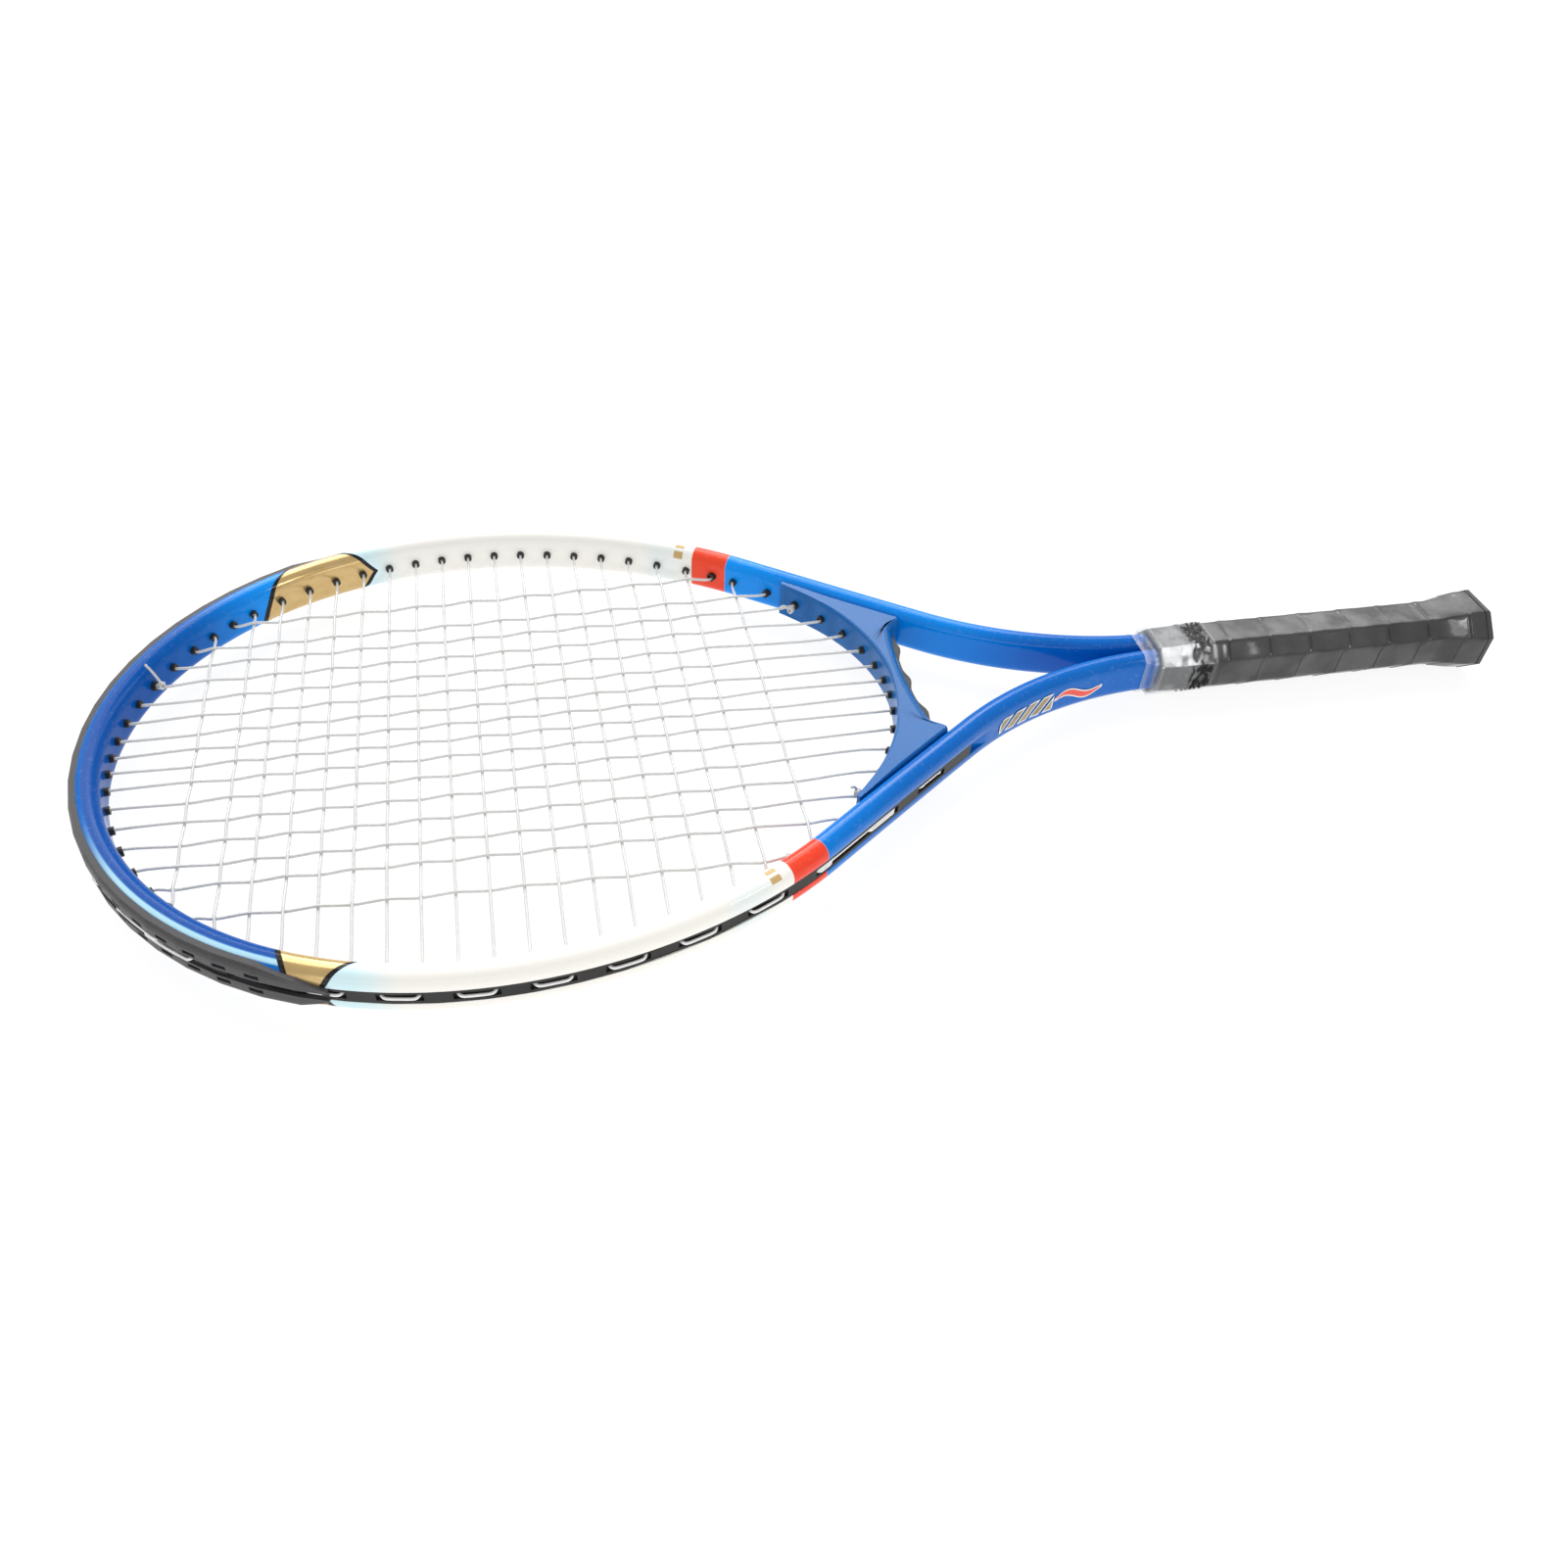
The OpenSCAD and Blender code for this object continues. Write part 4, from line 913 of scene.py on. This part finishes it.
loop_from, loop_to = throat_places[1].mouth[1] + BEND, throat_places[2].mouth[1] - BEND
half_main = [loop_point(0, 0), loop_point(throat_places[0].mouth[1] - BEND, -BORE_SHIFT / 2)]
half_main += main_pair(0)
half_main += [loop_point(loop_from + (loop_to - loop_from) * i / 4, -BORE_SHIFT) for i in range(5)]
half_main += main_pair(2) + throat_run(3, 4, -1)
half_main += main_pair(4) + throat_run(5, 6, 1)
half_main += main_pair(6) + throat_run(7, THROAT_TIE, -1) + tie_in(throat_places[THROAT_TIE], -1)
main_path = turned(half_main)[::-1] + half_main[1:]

first_tie, last_tie = tip_places[TIP_TIE], throat_places[THROAT_OUTER_TIE]
cross_path = tie_in(first_tie, 1)[::-1] + run_points(first_tie, cross_places[0], 1)
for j in range(CROSSES):
    far = woven([(k, j) for k in range(MAINS)], -1) + barrel_points(cross_places[j], 1)
    near = turned(far)
    middle = at_height((far[0] + near[0]) / 2, 0.0)
    cross_path += far[::-1] + [middle] + near if j % 2 == 0 else near[::-1] + [middle] + far
    if j < CROSSES - 1:
        run = run_points(cross_places[j], cross_places[j + 1], 1)
        cross_path += turned(run) if j % 2 == 0 else run
cross_path += turned(run_points(cross_places[-1], last_tie, 1) + tie_in(last_tie, 1))


def rounded(points, steps=4, pull=0.8):
    """A smooth line through the points, with no overshoot at sharp turns."""
    p = [np.array(points[0], float)]
    for q in points[1:]:
        if np.linalg.norm(q - p[-1]) > 0.05:
            p.append(np.array(q, float))
    made = []
    for i in range(len(p) - 1):
        a, b = p[i], p[i + 1]
        span = np.linalg.norm(b - a)
        before = unit(b - p[i - 1]) if i else unit(b - a)
        after = unit(p[i + 2] - a) if i + 2 < len(p) else unit(b - a)
        for k in range(steps):
            f = k / steps
            f2, f3 = f * f, f * f * f
            bend = (f3 - 2 * f2 + f) * before + (f3 - f2) * after
            made.append((2 * f3 - 3 * f2 + 1) * a + (3 * f2 - 2 * f3) * b + span * pull * bend)
    made.append(p[-1])
    return np.array(made)


def outside(p):
    """1 where a string runs on the outside of the hoop, 0 inside it."""
    level = np.array([p[0], abs(p[1])])
    s = near_length(level)
    return float((level - path_point(s)) @ path_outward(s) > 0.25 * TUBE_W)


STRING_SIDES = 10
SHOWN_R = 0.70


def string_mesh(name, path, radius, *nodes):
    """A round string along a path, with its outside runs marked for the painted light in the material."""
    points = []
    level = None
    for i, p in enumerate(path):
        along = unit(path[min(i + 1, len(path) - 1)] - path[max(i - 1, 0)])
        if level is None:
            level = unit(np.cross([0.0, 0.0, 1.0], along) + 1e-9)
        level = unit(level - along * (level @ along))
        rise = np.cross(along, level)
        for q in range(STRING_SIDES):
            a = 2 * math.pi * q / STRING_SIDES
            points.append(p + radius * (math.cos(a) * level + math.sin(a) * rise))
    obj = sleeve(name, points, STRING_SIDES)
    add_float(obj, "run", np.repeat([outside(p) for p in path], STRING_SIDES))
    done(obj, white_string, "white_string", *nodes)


string_mesh("main_strings", rounded(main_path), SHOWN_R, "main_string")
string_mesh("cross_strings", rounded(cross_path), SHOWN_R, "cross_string")

KNOT_TURNS, KNOT_LENGTH, KNOT_OUT = 2.3, 1.5, 1.3
KNOT_STEPS = int(KNOT_TURNS * 14)
KNOT_R = STRING_R * 0.98
TAIL_STEPS, TAIL_ARCH = 8, 1.6
UP = np.array([0.0, 0.0, 1.0])


def knot(name, place, z, size, tail_way=None, tail=0.0, side=1):
    """A half hitch pulled tight at a grommet's mouth: two wraps and a cut tail."""
    along = np.array([-place.way[0], -side * place.way[1], 0.0])
    level = np.array([-along[1], along[0], 0.0])
    base = np.array([place.mouth[0], side * place.mouth[1], z]) + along * KNOT_OUT
    pts = []
    for i in range(KNOT_STEPS + 1):
        a = 2 * math.pi * KNOT_TURNS * i / KNOT_STEPS
        r = size * (0.95 + 0.12 * math.sin(3 * a))
        wrap = r * (math.cos(a) * level + math.sin(a) * UP)
        pts.append(base + along * (0.2 + KNOT_LENGTH * i / KNOT_STEPS) + wrap)
    if tail:
        last, way = pts[-1], unit(tail_way)
        for i in range(1, TAIL_STEPS + 1):
            f = i / TAIL_STEPS
            pts.append(last + way * tail * f + UP * TAIL_ARCH * math.sin(math.pi * f * 0.8))
    string_mesh(name, np.array(pts), KNOT_R)


main_tie = throat_places[THROAT_TIE]
knot("knot_tip", first_tie, 0.7, 1.45, (-0.38, 0.10, 0.86), 11.5)
knot("knot_throat_far", main_tie, -0.7, 1.5, (-0.9, -0.15, 0.1), 5.0)
knot("knot_throat_near", main_tie, 0.7, 1.5, (-0.9, 0.15, 0.1), 2.5, side=-1)
knot("knot_throat_corner", last_tie, -0.7, 1.2, side=-1)

# ---- The grip: one ribbon of tape wound round the octagon, each turn lapping the last ----

GRIP_FROM, GRIP_TO, FLARE_FROM = 523.6, 681.2, 657
FILM_END, FILM_EASE = 533.5, 4.0
GRIP_ROWS = 260
# How far the lap shifts along the handle over each face, from the top face towards -Y.
LAP_SHIFT = [1.0, 1.6, 7.5, 1.6, 0.7, 1.7, 6.4, 1.5]
LAP_PITCH = sum(LAP_SHIFT)
LAP_TOP = 585.7
LAP_WIDTH = 0.7
lap_sums = [sum(LAP_SHIFT[:k]) for k in range(8)]
lap_jitter = np.random.default_rng(7).normal(0, 0.35, 40)


def octagon(width, height, cut, radius, per_side=5, per_corner=3):
    """A closed octagon with rounded corners, from the middle of the top face towards -Y."""
    w, h = width / 2, height / 2
    left = [(cut - w, h), (-w, h - cut), (-w, cut - h), (cut - w, -h)]
    corners = left + [(-x, y) for x, y in reversed(left)]
    pts = []
    for i in range(8):
        p, c, n = (np.array(corners[k % 8]) for k in (i - 1, i, i + 1))
        t_in, t_out = unit(c - p), unit(n - c)
        before, after = c - t_in * radius, c + t_out * radius
        start = p + t_in * radius
        for k in range(1, per_side):
            pts.append((start + (before - start) * k / per_side, i))
        for k in range(per_corner + 1):
            f = k / per_corner
            pts.append(((1 - f) ** 2 * before + 2 * f * (1 - f) * c + f * f * after, i + f))
    return pts


def grip_size(x):
    """Width, height and corner cut, which grow towards the flared end."""
    f = smooth(max((x - FLARE_FROM) / (GRIP_TO - FLARE_FROM), 0.0) ** 0.9)
    return 31 + 8 * f, 30 + 6.5 * f, 7.5 + 2.6 * f


def lap_phase(x, face):
    """0 just past a lap edge, rising to 1 at the next one."""
    k = int(math.floor(face)) % 8
    shift = lap_sums[k] + LAP_SHIFT[k] * (face % 1.0) - lap_sums[1] / 2
    turn = (x + shift - LAP_TOP) / LAP_PITCH
    turn += lap_jitter[int(math.floor(turn)) % 40] * 0.02
    return turn - math.floor(turn)


def tape_relief(x, corner, phase):
    """How far the tape stands out: a raised lip after each lap edge and slight unevenness."""
    lip = 0.36 * math.exp(-phase * 7.0) - 0.22 * math.exp(-(1 - phase) * 40.0)
    soft = 0.10 * math.sin(x * 0.31 + 2.1 * corner) * math.sin(x * 0.13 + corner)
    return smooth((x - FILM_END) / FILM_EASE) * (lip + soft) - 0.30


grip_points, grip_lap = [], []
for i in range(GRIP_ROWS + 1):
    x = GRIP_FROM + (GRIP_TO - GRIP_FROM) * i / GRIP_ROWS
    ring = octagon(*grip_size(x), 1.1)
    for (y, z), corner in ring:
        phase = lap_phase(x, (corner + 0.5) % 8)
        grow = 1 + tape_relief(x, corner, phase) / math.hypot(y, z)
        grip_points.append((x, y * grow, z * grow))
        to_edge = min(phase, 1 - phase) * LAP_PITCH
        grip_lap.append(math.exp(-(to_edge / LAP_WIDTH) ** 2))
grip = sleeve("grip_wrap", grip_points, len(ring))
add_float(grip, "lap", grip_lap)
grip.data.set_sharp_from_angle(angle=math.radians(40))
done(grip, charcoal_tape, "charcoal_tape", "grip_tape")

# ---- Softened edges on the moulded parts that are shown as designed ----

for node, width in {
    "bumper_guard": 0.22,
    "head_grommet_strip": 0.12,
    "side_grommet_strip_left": 0.12,
    "side_grommet_strip_right": 0.12,
    "bridge_grommet_strip": 0.3,
    "butt_cap": 0.4,
    "handle_collar": 0.5,
}.items():
    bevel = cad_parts[node].modifiers.new("soft_edges", "BEVEL")
    bevel.width = width / 1000
    bevel.segments = 2
    bevel.limit_method = "ANGLE"
    bevel.angle_limit = math.radians(35)
    bevel.harden_normals = False

# ---- Floor and light ----

FLOOR_HALF, FLOOR_Z = 6.0, -2e-4


def floor_material():
    """White, and bright enough to come out as white as a studio background."""
    m = Nodes("floor_white")
    m.set("Base Color", m.mix(m.noise(8.0, 2.0), (0.15, 0.15, 0.15), (0.17, 0.17, 0.17)))
    m.set("Roughness", 0.85)
    m.set("Specular IOR Level", 0.0)
    m.set("Emission Color", (1.0, 1.0, 1.0))
    m.set("Emission Strength", 0.90)
    return m.mat


floor_mesh = bpy.data.meshes.new("floor")
floor_corners = [(x * FLOOR_HALF, y * FLOOR_HALF, FLOOR_Z) for x, y in ((-1, -1), (1, -1), (1, 1), (-1, 1))]
floor_mesh.from_pydata(floor_corners, [], [(0, 1, 2, 3)])
floor_mesh.materials.append(floor_material())
floor = add_object("floor", floor_mesh)

world = bpy.data.worlds.new("studio")
scene.world = world
world.use_nodes = True
sky = world.node_tree.nodes["Background"]
sky.inputs["Color"].default_value = (1.0, 1.0, 1.0, 1.0)
sky.inputs["Strength"].default_value = 0.50


def aim_light(name, data, way, level, at):
    """A light whose rays come from this way, kept square to the level direction."""
    obj = add_object(name, data)
    right = unit(np.cross(level, way))
    put_at(obj, right, np.cross(way, right), way, at)


def softbox(name, location, aim, size, power):
    data = bpy.data.lights.new(name, "AREA")
    data.shape = "RECTANGLE"
    data.size, data.size_y = size
    data.energy = power
    aim_light(name, data, unit(np.array(location) - np.array(aim)), (0.0, 0.0, 1.0), location)


softbox("strip_behind", (0.42, 0.98, 0.78), (0.08, 0.0, 0.0), (2.3, 0.42), 8.0)
softbox("strip_left", (-1.1, 0.15, 0.55), (-0.2, 0.0, 0.0), (0.9, 0.25), 0.5)
softbox("fill_low", (-0.1, -1.45, 0.30), (0.0, 0.0, 0.02), (2.4, 0.45), 5.0)
softbox("spot_front", (0.62, -0.60, 0.72), (0.17, 0.0, 0.02), (0.17, 0.09), 1.2)

sun_data = bpy.data.lights.new("sky_panel", "SUN")
sun_data.energy = 2.1
sun_data.angle = math.radians(55)
aim_light("sky_panel", sun_data, unit([-0.10, 0.66, 0.75]), (0.0, 1.0, 0.0), (0.0, 0.0, 0.0))

scene.view_settings.view_transform = "Standard"

# ---- Update the view layer ----

bpy.context.view_layer.update()
